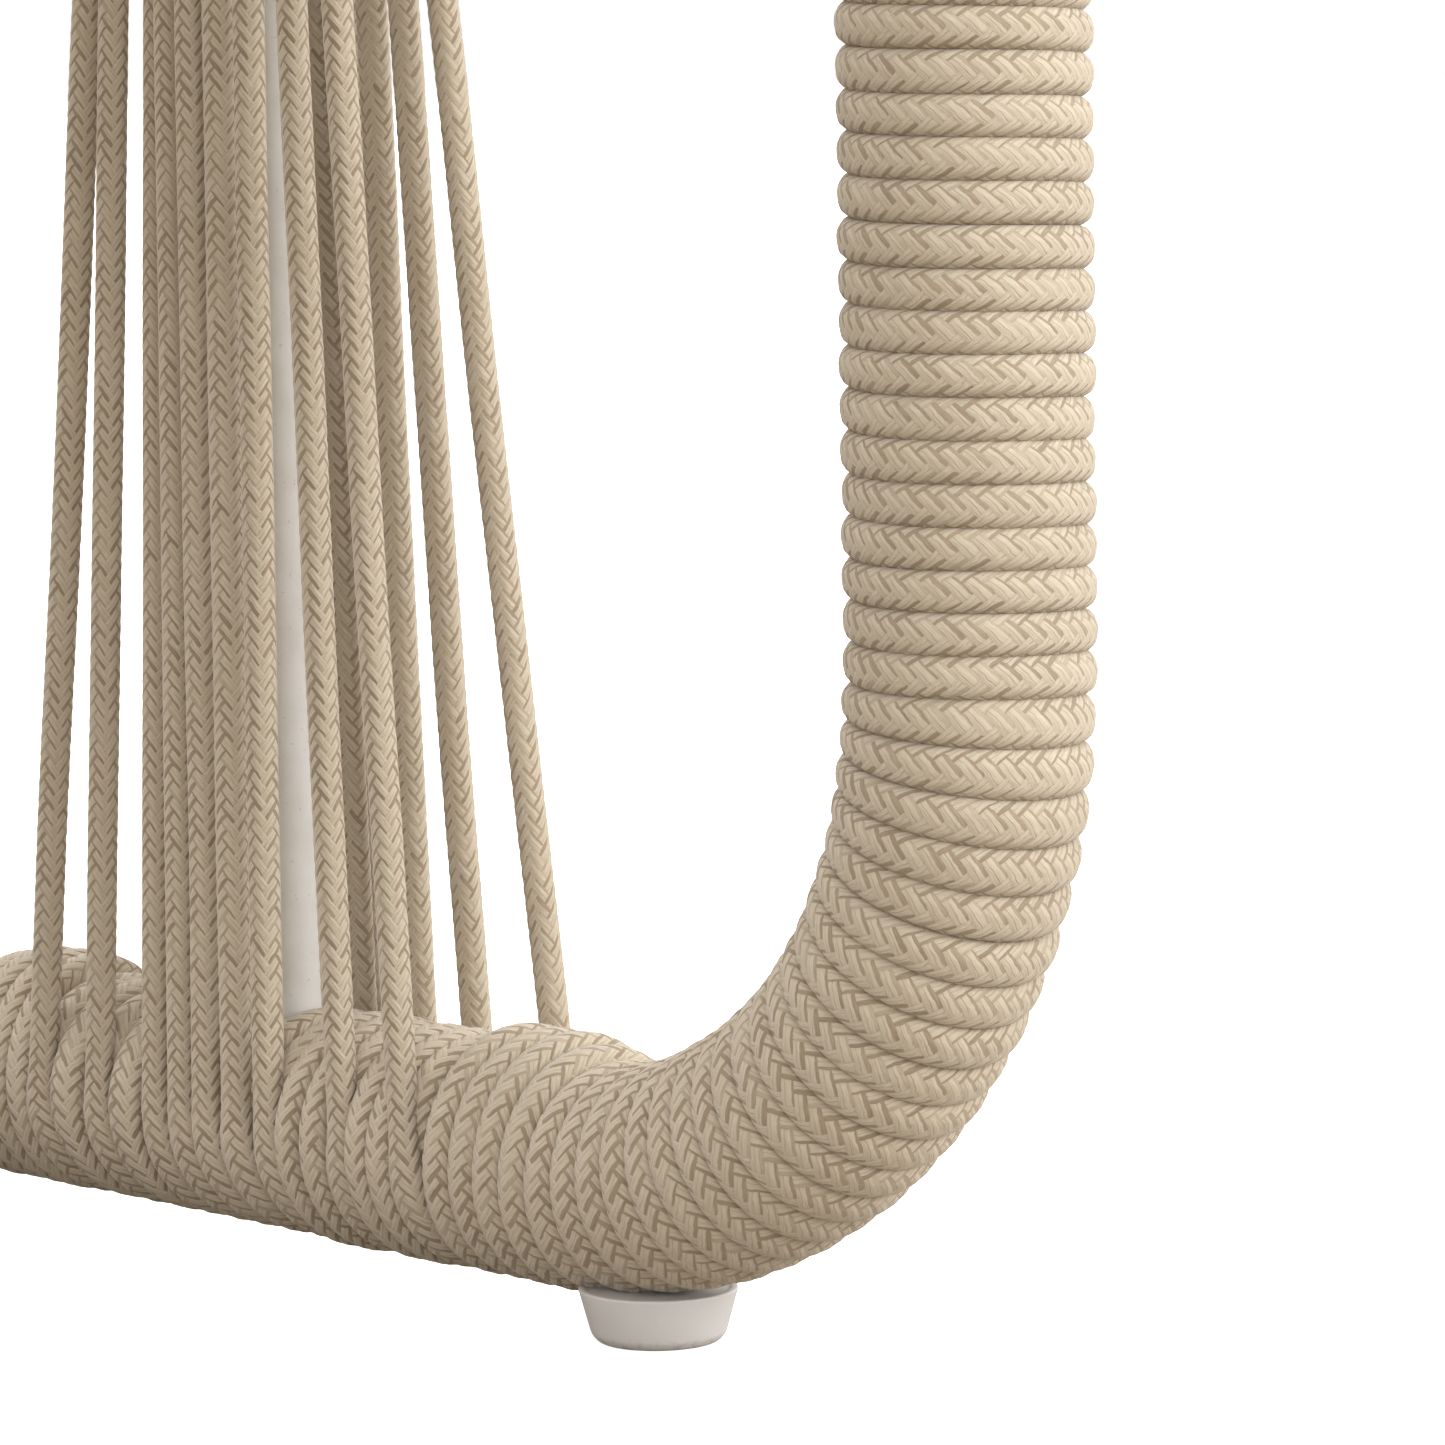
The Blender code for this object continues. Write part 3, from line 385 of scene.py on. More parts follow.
def rounded(points, radius, steps):
    """Profile with its inner corners rounded off."""
    out = [points[0]]
    for before, corner, after in zip(*(map(Vector, points[k:]) for k in range(3))):
        cut = min(radius, (before - corner).length * 0.45, (after - corner).length * 0.45)
        first = corner + (before - corner).normalized() * cut
        last = corner + (after - corner).normalized() * cut
        for i in range(steps + 1):
            t = i / steps
            out.append(tuple(first * (1 - t) ** 2 + corner * 2 * t * (1 - t) + last * t * t))
    out.append(points[-1])
    return out


def solid(name, shape, material, body, replaces=(), angle=35):
    mesh = to_mesh(name, shape)
    mesh.shade_smooth()
    mesh.set_sharp_from_angle(angle=math.radians(angle))
    place(name, mesh, material, body, replaces)


# ----------------------------------------------------------------- materials
def operation(kind, swapped=False):
    def method(self, other):
        pair = (other, self) if swapped else (self, other)
        return self.net.math(kind, *pair)
    return method


class Value:
    """Output of a shader node. Arithmetic on it adds math nodes."""

    def __init__(self, net, socket):
        self.net, self.socket = net, socket

    __add__, __radd__ = operation("ADD"), operation("ADD", True)
    __sub__, __rsub__ = operation("SUBTRACT"), operation("SUBTRACT", True)
    __mul__ = operation("MULTIPLY")
    __truediv__ = operation("DIVIDE")
    __pow__ = operation("POWER")
    __mod__ = operation("FLOORED_MODULO")
    __lt__ = operation("LESS_THAN")

    def __abs__(self):
        return self.net.math("ABSOLUTE", self)

    def floor(self):
        return self.net.math("FLOOR", self)


class Net:
    """A material and the nodes that feed its surface."""

    def __init__(self, name):
        self.material = bpy.data.materials.new(name)
        self.material.use_nodes = True
        self.tree = self.material.node_tree
        self.objects = None

    def feed(self, socket, value):
        if isinstance(value, Value):
            self.tree.links.new(value.socket, socket)
        else:
            socket.default_value = value

    def feed_named(self, node, inputs):
        for key, value in inputs.items():
            self.feed(node.inputs[key.replace("_", " ")], value)

    def node(self, kind, output=0, **inputs):
        node = self.tree.nodes.new("ShaderNode" + kind)
        self.feed_named(node, inputs)
        return Value(self, node.outputs[output])

    def surface(self, **inputs):
        self.feed_named(self.tree.nodes["Principled BSDF"], inputs)
        return self.material

    def math(self, kind, *values):
        node = self.tree.nodes.new("ShaderNodeMath")
        node.operation = kind
        for socket, value in zip(node.inputs, values):
            self.feed(socket, value)
        return Value(self, node.outputs[0])

    def pick(self, factor, first, second, kind="FLOAT", slots=(0, 2, 3), output=0):
        node = self.tree.nodes.new("ShaderNodeMix")
        node.data_type = kind
        for slot, value in zip(slots, (factor, first, second)):
            self.feed(node.inputs[slot], value)
        return Value(self, node.outputs[output])

    def mix(self, factor, first, second):
        return self.pick(factor, first, second, "RGBA", (0, 6, 7), 2)

    def object_coords(self):
        if self.objects is None:
            self.objects = self.node("TexCoord", "Object")
        return self.objects

    def uv(self, name):
        node = self.tree.nodes.new("ShaderNodeUVMap")
        node.uv_map = name
        return Value(self, node.outputs[0])

    def split(self, vector):
        node = self.tree.nodes.new("ShaderNodeSeparateXYZ")
        self.feed(node.inputs[0], vector)
        return [Value(self, socket) for socket in node.outputs]

    def noise(self, scale, detail, vector=None, rough=0.5):
        return self.node("TexNoise", "Fac", Scale=scale, Detail=detail, Roughness=rough,
                         Vector=vector or self.object_coords())

    def smooth(self, value, start, end):
        """0 below start, 1 above end, eased between."""
        node = self.tree.nodes.new("ShaderNodeMapRange")
        node.interpolation_type = "SMOOTHSTEP"
        for socket, item in zip(node.inputs, (value, start, end)):
            self.feed(socket, item)
        return Value(self, node.outputs[0])

    def bump(self, height, distance, strength):
        return self.node("Bump", Strength=strength, Distance=distance, Height=height)


def tint(colour, *factors):
    return tuple(c * f for c, f in zip(colour, factors)) + (1,)


def rope_material(name, light, dark, shade, depth=0.00035, lead_scale=1.0):
    """Two-tone braid: each strand is a broad light yarn beside a thin darker one."""
    net = Net(name)
    turn, lead, _ = net.split(net.uv("rope"))
    lead = lead * lead_scale
    # yarns wander a little from their line
    wander = (net.noise(scale=260.0, detail=2.0) - 0.5) * 0.030
    a = (turn + wander - lead) * 8.0
    b = (turn - wander + lead) * 8.0
    strand_a, strand_b = a.floor(), b.floor()
    part_a, part_b = a - strand_a, b - strand_b
    a_on_top = (strand_a + strand_b + 0.25) % 4.0 < 2.0
    t = net.pick(a_on_top, part_b, 1.0 - part_a)      # across the visible strand

    def on_float(rounding):
        """FRACT is the place along the visible float, FLOOR its number."""
        in_a = net.math(rounding, (strand_a + b + 1.0) / 4.0)
        in_b = net.math(rounding, (strand_b + a - 1.0) / 4.0)
        return net.pick(a_on_top, in_b, in_a)

    def random_by(y, z):
        key = net.node("CombineXYZ", X=net.pick(a_on_top, strand_b, strand_a), Y=y, Z=z)
        return net.node("TexWhiteNoise", "Value", Vector=key)

    from_middle = abs(on_float("FRACT") - 0.5) * 4.0
    yarn_tone = random_by(a_on_top, 0.0)
    float_tone = random_by(on_float("FLOOR"), a_on_top + 2.0)
    # thin dark yarn on one side of the strand: its mean width, the change from
    # float to float and along the rope, and its narrowing at the float ends
    width = 0.325 + (float_tone - 0.5) * 0.26
    width = width + (net.noise(scale=26.0, detail=2.0) - 0.5) * 0.22
    width = width - from_middle ** 3.0 * 0.09
    thin = 1.0 - net.smooth(t, start=width - 0.07, end=width + 0.045)
    # fibres run along the yarn
    fibre_at = net.node("CombineXYZ", X=t * 9.0, Y=(a + b) * 0.55, Z=yarn_tone * 30.0)
    fibre = net.noise(scale=1.6, detail=3.0, vector=fibre_at, rough=0.65)
    # now and then the dark yarn is partly hidden in its strand
    shows = 0.45 + net.smooth(net.math("FRACT", float_tone * 7.0), start=0.10, end=0.45) * 0.55
    light_yarn = net.mix(net.smooth(fibre, start=0.30, end=0.72),
                         tint(light, 0.80, 0.78, 0.72), light)
    dark_yarn = net.mix(net.smooth(fibre, start=0.25, end=0.75),
                        tint(dark, 0.80, 0.78, 0.75), tint(dark, 1.22, 1.22, 1.22))
    colour = net.mix(thin * shows, light_yarn, dark_yarn)
    # each yarn is two plies laid side by side: painted shade in the groove between them, a dark
    # line near 0.66 across
    ply_groove_at = 0.66 + (yarn_tone - 0.5) * 0.12
    ply_groove = 1.0 - net.smooth(abs(t - ply_groove_at), start=0.0, end=0.055)
    # painted shade: the ply groove is darkened towards the dark yarn colour
    colour = net.mix(ply_groove * 0.58, colour, dark_yarn)
    # slight drift of tone between yarns, and along the rope
    patch = net.noise(scale=9.0, detail=2.0)
    colour = net.mix(yarn_tone * 0.18, colour, tint(light, 0.86, 0.83, 0.72))
    colour = net.mix(net.smooth(patch, start=0.35, end=0.70) * 0.12, colour, dark)
    # a strand is shaded at its edges and where it dives under its neighbour
    edge = net.smooth(abs(t - 0.5), start=0.43, end=0.50) * 0.20
    dive = net.smooth(from_middle, start=0.78, end=1.0) * 0.15
    colour = net.mix(net.math("MAXIMUM", edge, dive), colour, shade)
    # height: round yarns, a groove between light and dark, fibres
    arch = 1.0 - (abs(t - 0.5) * 2.0) ** 2.2
    arch = arch * (1.0 - from_middle ** 2.5 * 0.35)
    height = arch - thin * 0.38 + fibre * 0.75 - ply_groove * 0.30
    return net.surface(
        Base_Color=colour, Roughness=0.78 + fibre * 0.2, Specular_IOR_Level=0.25,
        Sheen_Weight=0.22, Sheen_Roughness=0.55,
        Normal=net.bump(height, distance=depth, strength=0.9))


def paint_material(name, colour):
    """Powder coat: fine orange peel, faint mottling and dark specks."""
    net = Net(name)
    peel = net.noise(scale=900.0, detail=2.0)
    mottle = net.noise(scale=60.0, detail=4.0)
    shown = net.mix(net.smooth(mottle, start=0.35, end=0.7),
                    colour, tint(colour, 0.93, 0.925, 0.91))
    speck = net.smooth(net.noise(scale=420.0, detail=1.0), start=0.70, end=0.76)
    shown = net.mix(speck * 0.25, shown, (0.30, 0.27, 0.23, 1))
    return net.surface(Base_Color=shown, Roughness=0.42 + mottle * 0.18,
                       Normal=net.bump(peel, distance=0.00008, strength=0.8))


def moulded_material(name, colour, rough):
    """Moulded plastic: fine grain, scuffs near the bottom edge."""
    net = Net(name)
    grain = net.noise(scale=1500.0, detail=2.0)
    cloud = net.noise(scale=35.0, detail=3.0)
    z = net.split(net.object_coords())[2]
    low = 1.0 - net.smooth(z, start=0.0, end=0.006)
    scuff = net.smooth(net.noise(scale=300.0, detail=4.0), start=0.48, end=0.66) * low
    shown = net.mix(net.smooth(cloud, start=0.3, end=0.7),
                    colour, tint(colour, 0.95, 0.94, 0.93))
    shown = net.mix(scuff * 0.45, shown, (0.34, 0.31, 0.28, 1))
    return net.surface(
        Base_Color=shown, Roughness=rough + cloud * 0.15,
        Subsurface_Weight=0.08, Subsurface_Radius=(0.003, 0.002, 0.0015),
        Normal=net.bump(grain, distance=0.00006, strength=0.7))


def metal_material(name, colour, rough=0.32, line_scale=1400.0, zinc=False):
    """Metal with drawn scratches across Z, and a faint spangle if zinc plated."""
    net = Net(name)
    coords = net.object_coords()
    stretched = net.node("Mapping", Vector=coords, Scale=(60, 60, line_scale))
    lines = net.noise(scale=1.0, detail=3.0, vector=stretched, rough=0.6)
    haze = net.noise(scale=140.0, detail=4.0)
    shown = net.mix(net.smooth(haze, start=0.35, end=0.68),
                    colour, tint(colour, 0.80, 0.80, 0.81))
    if zinc:
        spangle = net.node("TexVoronoi", "Distance", Scale=420.0, Vector=coords)
        shown = net.mix(spangle * 0.35, shown, (0.42, 0.43, 0.46, 1))
    return net.surface(Base_Color=shown, Metallic=1.0, Roughness=rough + (haze + lines) * 0.12,
                       Normal=net.bump(lines, distance=0.00004, strength=0.6))


def fabric_material(name, base, slub, yarns=620.0, slub_scale=14.0):
    """Plain weave: crossing yarns (so many per metre), slubs and soft sheen."""
    net = Net(name)
    u, v, _ = net.split(net.uv("cloth"))
    wander = (net.noise(scale=70.0, detail=2.0) - 0.5) * 0.8
    x = u * yarns + wander
    y = v * yarns + wander
    round_x, round_y = (abs(net.math("SINE", at * math.pi)) for at in (x, y))
    x_on_top = (x.floor() + y.floor() + 0.25) % 2.0 < 1.0
    weave = net.pick(x_on_top, round_x, round_y)
    slubs = net.pick(x_on_top, *(
        net.noise(scale=0.9, detail=2.0, vector=net.node(
            "CombineXYZ", X=yarn.floor(), Y=along * slub_scale, Z=offset))
        for yarn, along, offset in ((x, v, 0.0), (y, u, 7.0))))
    cloud = net.smooth(net.noise(scale=7.0, detail=3.0), start=0.4, end=0.7)
    colour = net.mix(net.smooth(slubs, start=0.36, end=0.66), slub, base)
    # painted shade between the crossing yarns: darker where each yarn's round profile dips
    colour = net.mix((1.0 - weave) * 0.40, colour, tint(slub, 0.6, 0.58, 0.54))
    colour = net.mix(cloud * 0.10, colour, tint(slub, 0.85, 0.84, 0.8))
    return net.surface(
        Base_Color=colour, Roughness=0.92, Specular_IOR_Level=0.2,
        Sheen_Weight=0.25, Sheen_Roughness=0.5,
        Normal=net.bump(weave + slubs * 0.6, distance=0.00035, strength=0.8))


ROPE_COLOURS = dict(light=(0.640, 0.560, 0.450, 1), dark=(0.312, 0.244, 0.170, 1),
                    shade=(0.295, 0.234, 0.160, 1))
ROPE = rope_material("braided_rope", **ROPE_COLOURS)
THIN_ROPE = rope_material("braided_cord", **ROPE_COLOURS, depth=0.00022, lead_scale=1.4)
PAINT = paint_material("white_powder_coat", (0.780, 0.772, 0.762, 1))
FOOT = moulded_material("foot_polymer", (0.665, 0.646, 0.636, 1), rough=0.5)
STEEL = metal_material("brushed_steel", (0.60, 0.60, 0.61, 1))
ZINC = metal_material("zinc_plate", (0.66, 0.67, 0.69, 1), rough=0.30, line_scale=560.0,
                      zinc=True)
NYLON = moulded_material("nylon", (0.838799, 0.806952, 0.730461, 1), rough=0.45)
FABRIC = fabric_material("woven_fabric", base=(0.800, 0.755, 0.680, 1),
                         slub=(0.640, 0.590, 0.510, 1))
PIPING = rope_material("piping_cord", light=(0.62, 0.54, 0.42, 1), dark=(0.44, 0.36, 0.26, 1),
                       shade=(0.36, 0.30, 0.2, 1), depth=0.0001, lead_scale=3.0)


# ----------------------------------------------------- winding on the loops
FAN_END = 0.1262          # the plain winding starts beyond the outermost fan ropes
TURN_STEPS = 96           # path points in one turn of the winding
CUT = 0.867               # share of a turn at which a winding is cut, out of sight


def joints(reach):
    """Distances along half a loop to the ends of its five parts: rail, bend,
    upright, bend, rail."""
    rail, arc = reach - BEND - FAN_END, BEND * math.pi / 2
    return np.cumsum([rail, arc, (TOP_Z - BEND) - (LOW_Z + BEND), arc, rail])


def half_loop(s, reach):
    """Axis point (y, z), direction and bend share at the distances s."""
    flat, ends = reach - BEND, joints(reach)
    low = np.clip((s - ends[0]) / BEND, 0, math.pi / 2)
    high = np.clip((s - ends[2]) / BEND, 0, math.pi / 2)
    parts = [s < end for end in ends[:4]]
    y = np.select(parts, [-FAN_END - s, -flat - BEND * np.sin(low), -reach + 0 * s,
                          -flat - BEND * np.cos(high)], -flat + (s - ends[3]))
    z = np.select(parts, [LOW_Z + 0 * s, LOW_Z + BEND * (1 - np.cos(low)),
                          LOW_Z + BEND + (s - ends[1]), TOP_Z - BEND + BEND * np.sin(high)],
                  TOP_Z + 0 * s)
    soft = 0.012          # the bend share rises and falls over this length
    bend = sum(np.clip((s - ends[k]) / soft + 0.5, 0, 1)
               * np.clip((ends[k + 1] - s) / soft + 0.5, 0, 1) for k in (0, 2))
    return y, z, -np.cos(low + high), np.sin(low + high), bend


def winding(reach, seed):
    """Rope centres, outward directions, half width and half depth for half a loop."""
    length = joints(reach)[-1]
    turns = round(length / PITCH)
    pitch = length / turns
    tau = np.linspace(0, turns, turns * TURN_STEPS + 1)
    angle = -2 * np.pi * tau + math.pi
    # each turn leans, and the turns are laid a little unevenly
    s = pitch * tau + 0.00147 * np.sin(angle - math.radians(48))
    s = s + 0.00034 * wobble(tau, seed, 0.43) + 0.00022 * wobble(tau, seed + 1, 1.7)
    s = np.clip(s, -0.004, length + 0.004)
    y, z, dir_y, dir_z, bend = half_loop(s, reach)
    outward = across(angle, np.array([-1.0, 0, 0]), np.stack([0 * s, -dir_z, dir_y], 1))
    stretch = 1 + bend * WIND * np.sin(angle) / BEND
    width = 0.5 * pitch * stretch * 1.085 * (1 + 0.03 * wobble(tau, seed + 2, 0.6))
    depth = ROPE_HALF * np.clip((ROPE_HALF / width) ** 0.45, 0.86, 1.10)
    sink = ROPE_HALF * both_ends(tau, turns, 0.25)
    radius = TUBE + depth - 0.0002 + 0.00028 * wobble(tau, seed + 3, 0.37) - sink
    # the tails of the fans run under the first turns, and the tight side of
    # the bend draws down just after them
    inner = np.clip(-np.sin(angle), 0, 1) ** 2
    raised = 0.0062 * step01((0.066 - s) / 0.024)
    drawn = 0.0030 * step01((s - 0.061) / 0.008) * step01((0.150 - s) / 0.060)
    radius = radius + inner * (raised - drawn)
    radius = radius + np.clip(np.sin(angle), 0, 1) ** 1.5 * DROP * step01((0.100 - s) / 0.055)
    path = np.stack([0 * s, y, z], 1) + radius[:, None] * outward
    return path, outward, width, depth


def last_cut(point):
    """Path index of the hidden cut nearest to a point index."""
    return int((round(point / TURN_STEPS - CUT) + CUT) * TURN_STEPS)


def plain_winding(label, side):
    for end, facing in (("front", 1), ("rear", -1)):
        lines = winding(REACH if facing > 0 else REACH + REAR,
                        11 + 20 * (side > 0) + 7 * (facing > 0))
        name = "rope_wrap_%s_%s" % (label, end)
        replaced = ("rope_wrap_" + label,) if end == "front" else ()
        # (piece name, first point, last point) of the finely meshed pieces
        fine = []
        if side > 0 and end == "front":
            below = lines[0][:, 2] < FINE_Z
            below[len(below) // 2:] = False
            stop = last_cut(int(np.argmin(below)))
            cuts = [0, last_cut(stop / 3), last_cut(stop * 2 / 3), stop]
            fine = [("%s_lower_%d" % (name, k + 1), cuts[k], cuts[k + 1]) for k in range(3)]
        elif side > 0:
            fine = [(name + "_lower", 0, 6 * TURN_STEPS)]
        for part, first, last in fine:
            bag = RopeMesh(side, facing)
            bag.rope(*(line[first:last + 1] for line in lines), start=first * 0.071,
                     fine=True, square=SQUARE)
            bag.build(part, "stand", ROPE, replaced)
            replaced = ()
        rest = fine[-1][2] if fine else 0
        bag = RopeMesh(side, facing)
        bag.rope(*(line[rest:] for line in lines), start=0.3, square=SQUARE)
        bag.build(name, "stand", ROPE, replaced)


# ------------------------------------------------------- fans and their zone
# Nine ropes fan out from a waist at mid height to both rails.
KNEE = 0.4365             # height of the knees above and below the rails
WAIST_Y, WAIST_N, WAIST_HALF = 0.034, 0.021, 0.055
# one entry per rope: half thickness, roll of the braid
STRAND = (0.0061, 0.0061, 0.0063, 0.0065, 0.0065, 0.0065, 0.0063, 0.0061, 0.0061)
STRAND_ROLL = (0.115, 0.10, 0.13, 0.09, 0.12, 0.105, 0.125, 0.11, 0.10)
# y on the rails: inner face of the bottom rail, inner face of the top rail,
# outer face of both rails
INNER_Y = (-0.1114, -0.0736, -0.0286, -0.0079, 0.0102, 0.0255, 0.0430, 0.0820, 0.1205)
INNER_TOP_Y = (-0.1240, -0.1010, -0.0790, -0.0600, -0.0420, 0.0440, 0.0640, 0.0900, 0.1180)
OUTER_Y = (-0.1167, -0.0670, -0.0330, -0.0150, 0.0030, 0.0210, 0.0390, 0.0750, 0.1130)
# (y, distance from the plane of the loop) at the knees
INNER_KNEE = ((-0.0775, 0.032), (-0.0498, 0.032), (-0.0236, 0.032),
              (-0.0050, 0.032), (0.0110, 0.033), (0.0278, 0.030),
              (0.0430, 0.024), (0.0612, 0.032), (0.0781, 0.032))
OUTER_KNEE = ((-0.0640, 0.030), (-0.0410, 0.030), (-0.0214, 0.030),
              (-0.0020, 0.034), (0.0148, 0.030), (0.0310, 0.031),
              (0.0450, 0.026), (0.0610, 0.030), (0.0790, 0.030))


def fan_rope(i):
    """Closed path of rope i: up the inner face, over the top rail, down the
    outer face, under the bottom rail, with outward directions and a weight
    that is 1 where it lies on a rail."""
    turn = math.radians(-66 + 16.5 * i)
    waist_y, waist_n = WAIST_Y * math.sin(turn), WAIST_N * math.cos(turn)

    def strand(face, low_y, knee, top_y):
        knee_y, knee_n = knee
        stations = np.array([
            (face * WIND, low_y, LOW_Z),
            (face * knee_n, knee_y, LOW_Z + KNEE),
            (face * waist_n, waist_y, MID_Z - WAIST_HALF),
            (face * waist_n, waist_y, MID_Z + WAIST_HALF),
            (face * knee_n, 0.5 * (knee_y + 0.7 * top_y), TOP_Z - KNEE),
            (face * WIND, top_y, TOP_Z)])
        return resample(0.002, stations)[1][0]

    def half_turn(rail_z, inner_y, height):
        x = np.radians(np.linspace(3, 177, 59))
        path = np.stack([-WIND * np.cos(x), inner_y + (OUTER_Y[i] - inner_y) * x / math.pi,
                         rail_z + height * np.sin(x)], 1)
        out = path - np.array([0, 0, rail_z])
        out[:, 1] = 0
        return path, unit(out)

    def blur(values):
        pad = len(kernel) // 2
        return np.convolve(np.concatenate([values[-pad:], values, values[:pad]]),
                           kernel, "valid")

    up = strand(-1, INNER_Y[i], INNER_KNEE[i], INNER_TOP_Y[i])
    over, over_out = half_turn(TOP_Z, INNER_TOP_Y[i], WIND)
    down = strand(1, OUTER_Y[i], OUTER_KNEE[i], OUTER_Y[i])[::-1]
    under, under_out = half_turn(LOW_Z, INNER_Y[i], -(WIND + DROP))
    path = np.vstack([up, over, down, under[::-1]])
    outward = np.vstack([np.tile([-1.0, 0, 0], (len(up), 1)), over_out,
                         np.tile([1.0, 0, 0], (len(down), 1)), under_out[::-1]])
    weight = np.repeat([0.0, 1.0, 0.0, 1.0], [len(up), len(over), len(down), len(under)])
    kernel = np.hanning(15)[1:-1]
    kernel /= kernel.sum()
    path = np.apply_along_axis(blur, 0, path)
    outward = unit(np.apply_along_axis(blur, 0, outward))
    return path, outward, blur(blur(weight))


def gap_share(i, stations):
    """Half the room of rope i between its neighbours on the rail."""
    room = []
    for j in (i - 1, i + 1):
        if 0 <= j < len(stations):
            gap = abs(stations[j] - stations[i])
            room.append(gap / max(1, round(gap / 0.0155)))
    return 0.5 * sum(room) / len(room)


def fans(label, side):
    """The nine ropes, each one closed path."""
    fine_bag, bag = RopeMesh(side), RopeMesh(side)
    for i in range(9):
        path, outward, weight = fan_rope(i)
        half = 0.5 * (gap_share(i, INNER_Y) + gap_share(i, OUTER_Y))
        width = STRAND[i] + (half * 1.04 - STRAND[i]) * weight
        depth = STRAND[i] + (0.0069 - STRAND[i]) * weight
        along = np.arange(len(path)) * 0.002
        path[:, 1] += 0.0005 * wobble(along, 40 + i, 0.11) * (1 - weight)
        path[:, 0] += 0.0004 * wobble(along, 60 + i, 0.13) * (1 - weight)
        lines, roll = (path, outward, width, depth), STRAND_ROLL[i]
        if side < 0:
            bag.rope(*lines, start=0.17 * i, cyclic=True, step=0.012, roll=roll)
            continue
        above = path[:, 2] >= FINE_Z
        first = int(np.argmax(above))
        last = len(path) - int(np.argmax(above[::-1]))
        low = np.r_[last - 1:len(path), 0:first + 1]
        fine_bag.rope(*(line[low] for line in lines), start=0.13 * i, fine=True, whole=True,
                      roll=roll)
        bag.rope(*(line[first:last] for line in lines), start=0.21 * i, step=0.012, roll=roll)
        if i % 3 == 2:
            fine_bag.build("rope_fan_%s_lower_%d" % (label, i), "stand", ROPE)
            fine_bag = RopeMesh(side)
    bag.build("rope_fan_" + label, "stand", ROPE,
              ("rope_fan_inner_" + label, "rope_fan_outer_" + label))


def pressed(half):
    """Half depth of a rope squeezed to a half width."""
    return ROPE_HALF * min(1.05, (ROPE_HALF / half) ** 0.45)


def ring_on_rail(rail_z, inner_y, outer_y, half):
    """Closed turn of rope round a rail. It crosses the inner face at inner_y
    and the outer face at outer_y."""
    x = np.linspace(0, 2 * math.pi, 97)[:-1]
    slack = (DROP if rail_z == LOW_Z else 0) * np.clip(-np.sin(x), 0, 1) ** 1.5
    outward = np.stack([-np.cos(x), 0 * x, np.sin(x)], 1)
    path = np.stack([-WIND * np.cos(x),
                     0.5 * (inner_y + outer_y) + 0.5 * (inner_y - outer_y) * np.cos(x),
                     rail_z + WIND * np.sin(x) - slack], 1)
    return path, outward, half, pressed(half)


def arc_on_rail(rail_z, inner_y, outer_y, angles, half, up, sinks, fade):
    """Part of a turn over the upper (up 1) or lower (up -1) side of a rail,
    from the inner face. Its ends sink towards the tube over fade degrees."""
    degrees = np.linspace(*angles, 90)
    x = np.radians(degrees)
    sink = (sinks[0] * step01(1 - (degrees - angles[0]) / fade)
            + sinks[1] * step01(1 - (angles[1] - degrees) / fade))
    outward = np.stack([-np.cos(x), 0 * x, up * np.sin(x)], 1)
    path = np.stack([0 * x, inner_y + (outer_y - inner_y) * x / math.pi, 0 * x + rail_z], 1)
    path = path + (WIND - sink)[:, None] * outward
    path[:, 1] += 0.0004 * wobble(x * 3 + inner_y * 900, 5, 0.8)
    return path, outward, half, pressed(half)


def rail_turns(label, side):
    """Turns between and behind the fan ropes on both rails."""
    for rail, rail_z, up, inner in (("bottom", LOW_Z, 1, INNER_Y),
                                    ("top", TOP_Z, -1, INNER_TOP_Y)):
        bag = RopeMesh(side)
        fine = side > 0 and rail == "bottom"
        for i in range(8):
            outer_gap, inner_gap = OUTER_Y[i + 1] - OUTER_Y[i], inner[i + 1] - inner[i]
            # the wide middle gap inside the top rail is filled by the arcs below
            wide = rail == "top" and i == 4
            gap = outer_gap if wide else 0.5 * (outer_gap + inner_gap)
            count = max(0, round(gap / 0.0155) - 1)
            for j in range(count):
                share = (j + 1) / (count + 1)
                ring = ring_on_rail(rail_z, inner[i] + inner_gap * share,
                                    OUTER_Y[i] + outer_gap * share,
                                    0.5 * gap / (count + 1) * 1.04)
                bag.rope(*ring, start=0.37 * j + 0.11 * i, fine=fine, cyclic=True,
                         square=SQUARE, roll=0.03 * i)
        for i in range(9):
            arc = arc_on_rail(rail_z, inner[i], OUTER_Y[i] - (0.014 if 1 < i < 7 else 0.0),
                              angles=(6, 174), half=gap_share(i, OUTER_Y) * 1.05, up=up,
                              sinks=(0.0080, 0.0080), fade=50)
            bag.rope(*arc, start=0.19 * i, fine=fine, square=SQUARE, roll=0.021 * i)
        if rail == "top":
            for k, y in enumerate((-0.0265, -0.0105, 0.0055, 0.0215, 0.0330)):
                arc = arc_on_rail(rail_z, y, y * 0.8, angles=(25, 120), half=0.0082, up=1,
                                  sinks=(0.0, 0.0085), fade=40)
                bag.rope(*arc, start=0.1 * k)
        bag.build("rope_turns_%s_%s" % (rail, label), "stand", ROPE)


def waist_lashing(label, side):
    turns, half_height = 9, 0.0445
    half_y, half_n = 0.0440 + 0.0055, 0.0300 + 0.0055
    x = np.linspace(0, 2 * math.pi * turns, turns * 72 + 1)
    sink = 0.006 * both_ends(x, x[-1], 1.2)
    outward = unit(np.stack([np.cos(x) / half_n, np.sin(x) / half_y, 0 * x], 1))
    path = np.stack([half_n * np.cos(x), half_y * np.sin(x),
                     MID_Z - half_height + 2 * half_height * x / x[-1]], 1)
    bag = RopeMesh(side)
    bag.rope(path - sink[:, None] * outward, outward, 0.0053, 0.0055, step=0.006)
    bag.build("waist_lashing_rope_" + label, "stand", THIN_ROPE, ("waist_lashing_" + label,))


for label, side in SIDES:
    plain_winding(label, side)
    fans(label, side)
    rail_turns(label, side)
    waist_lashing(label, side)


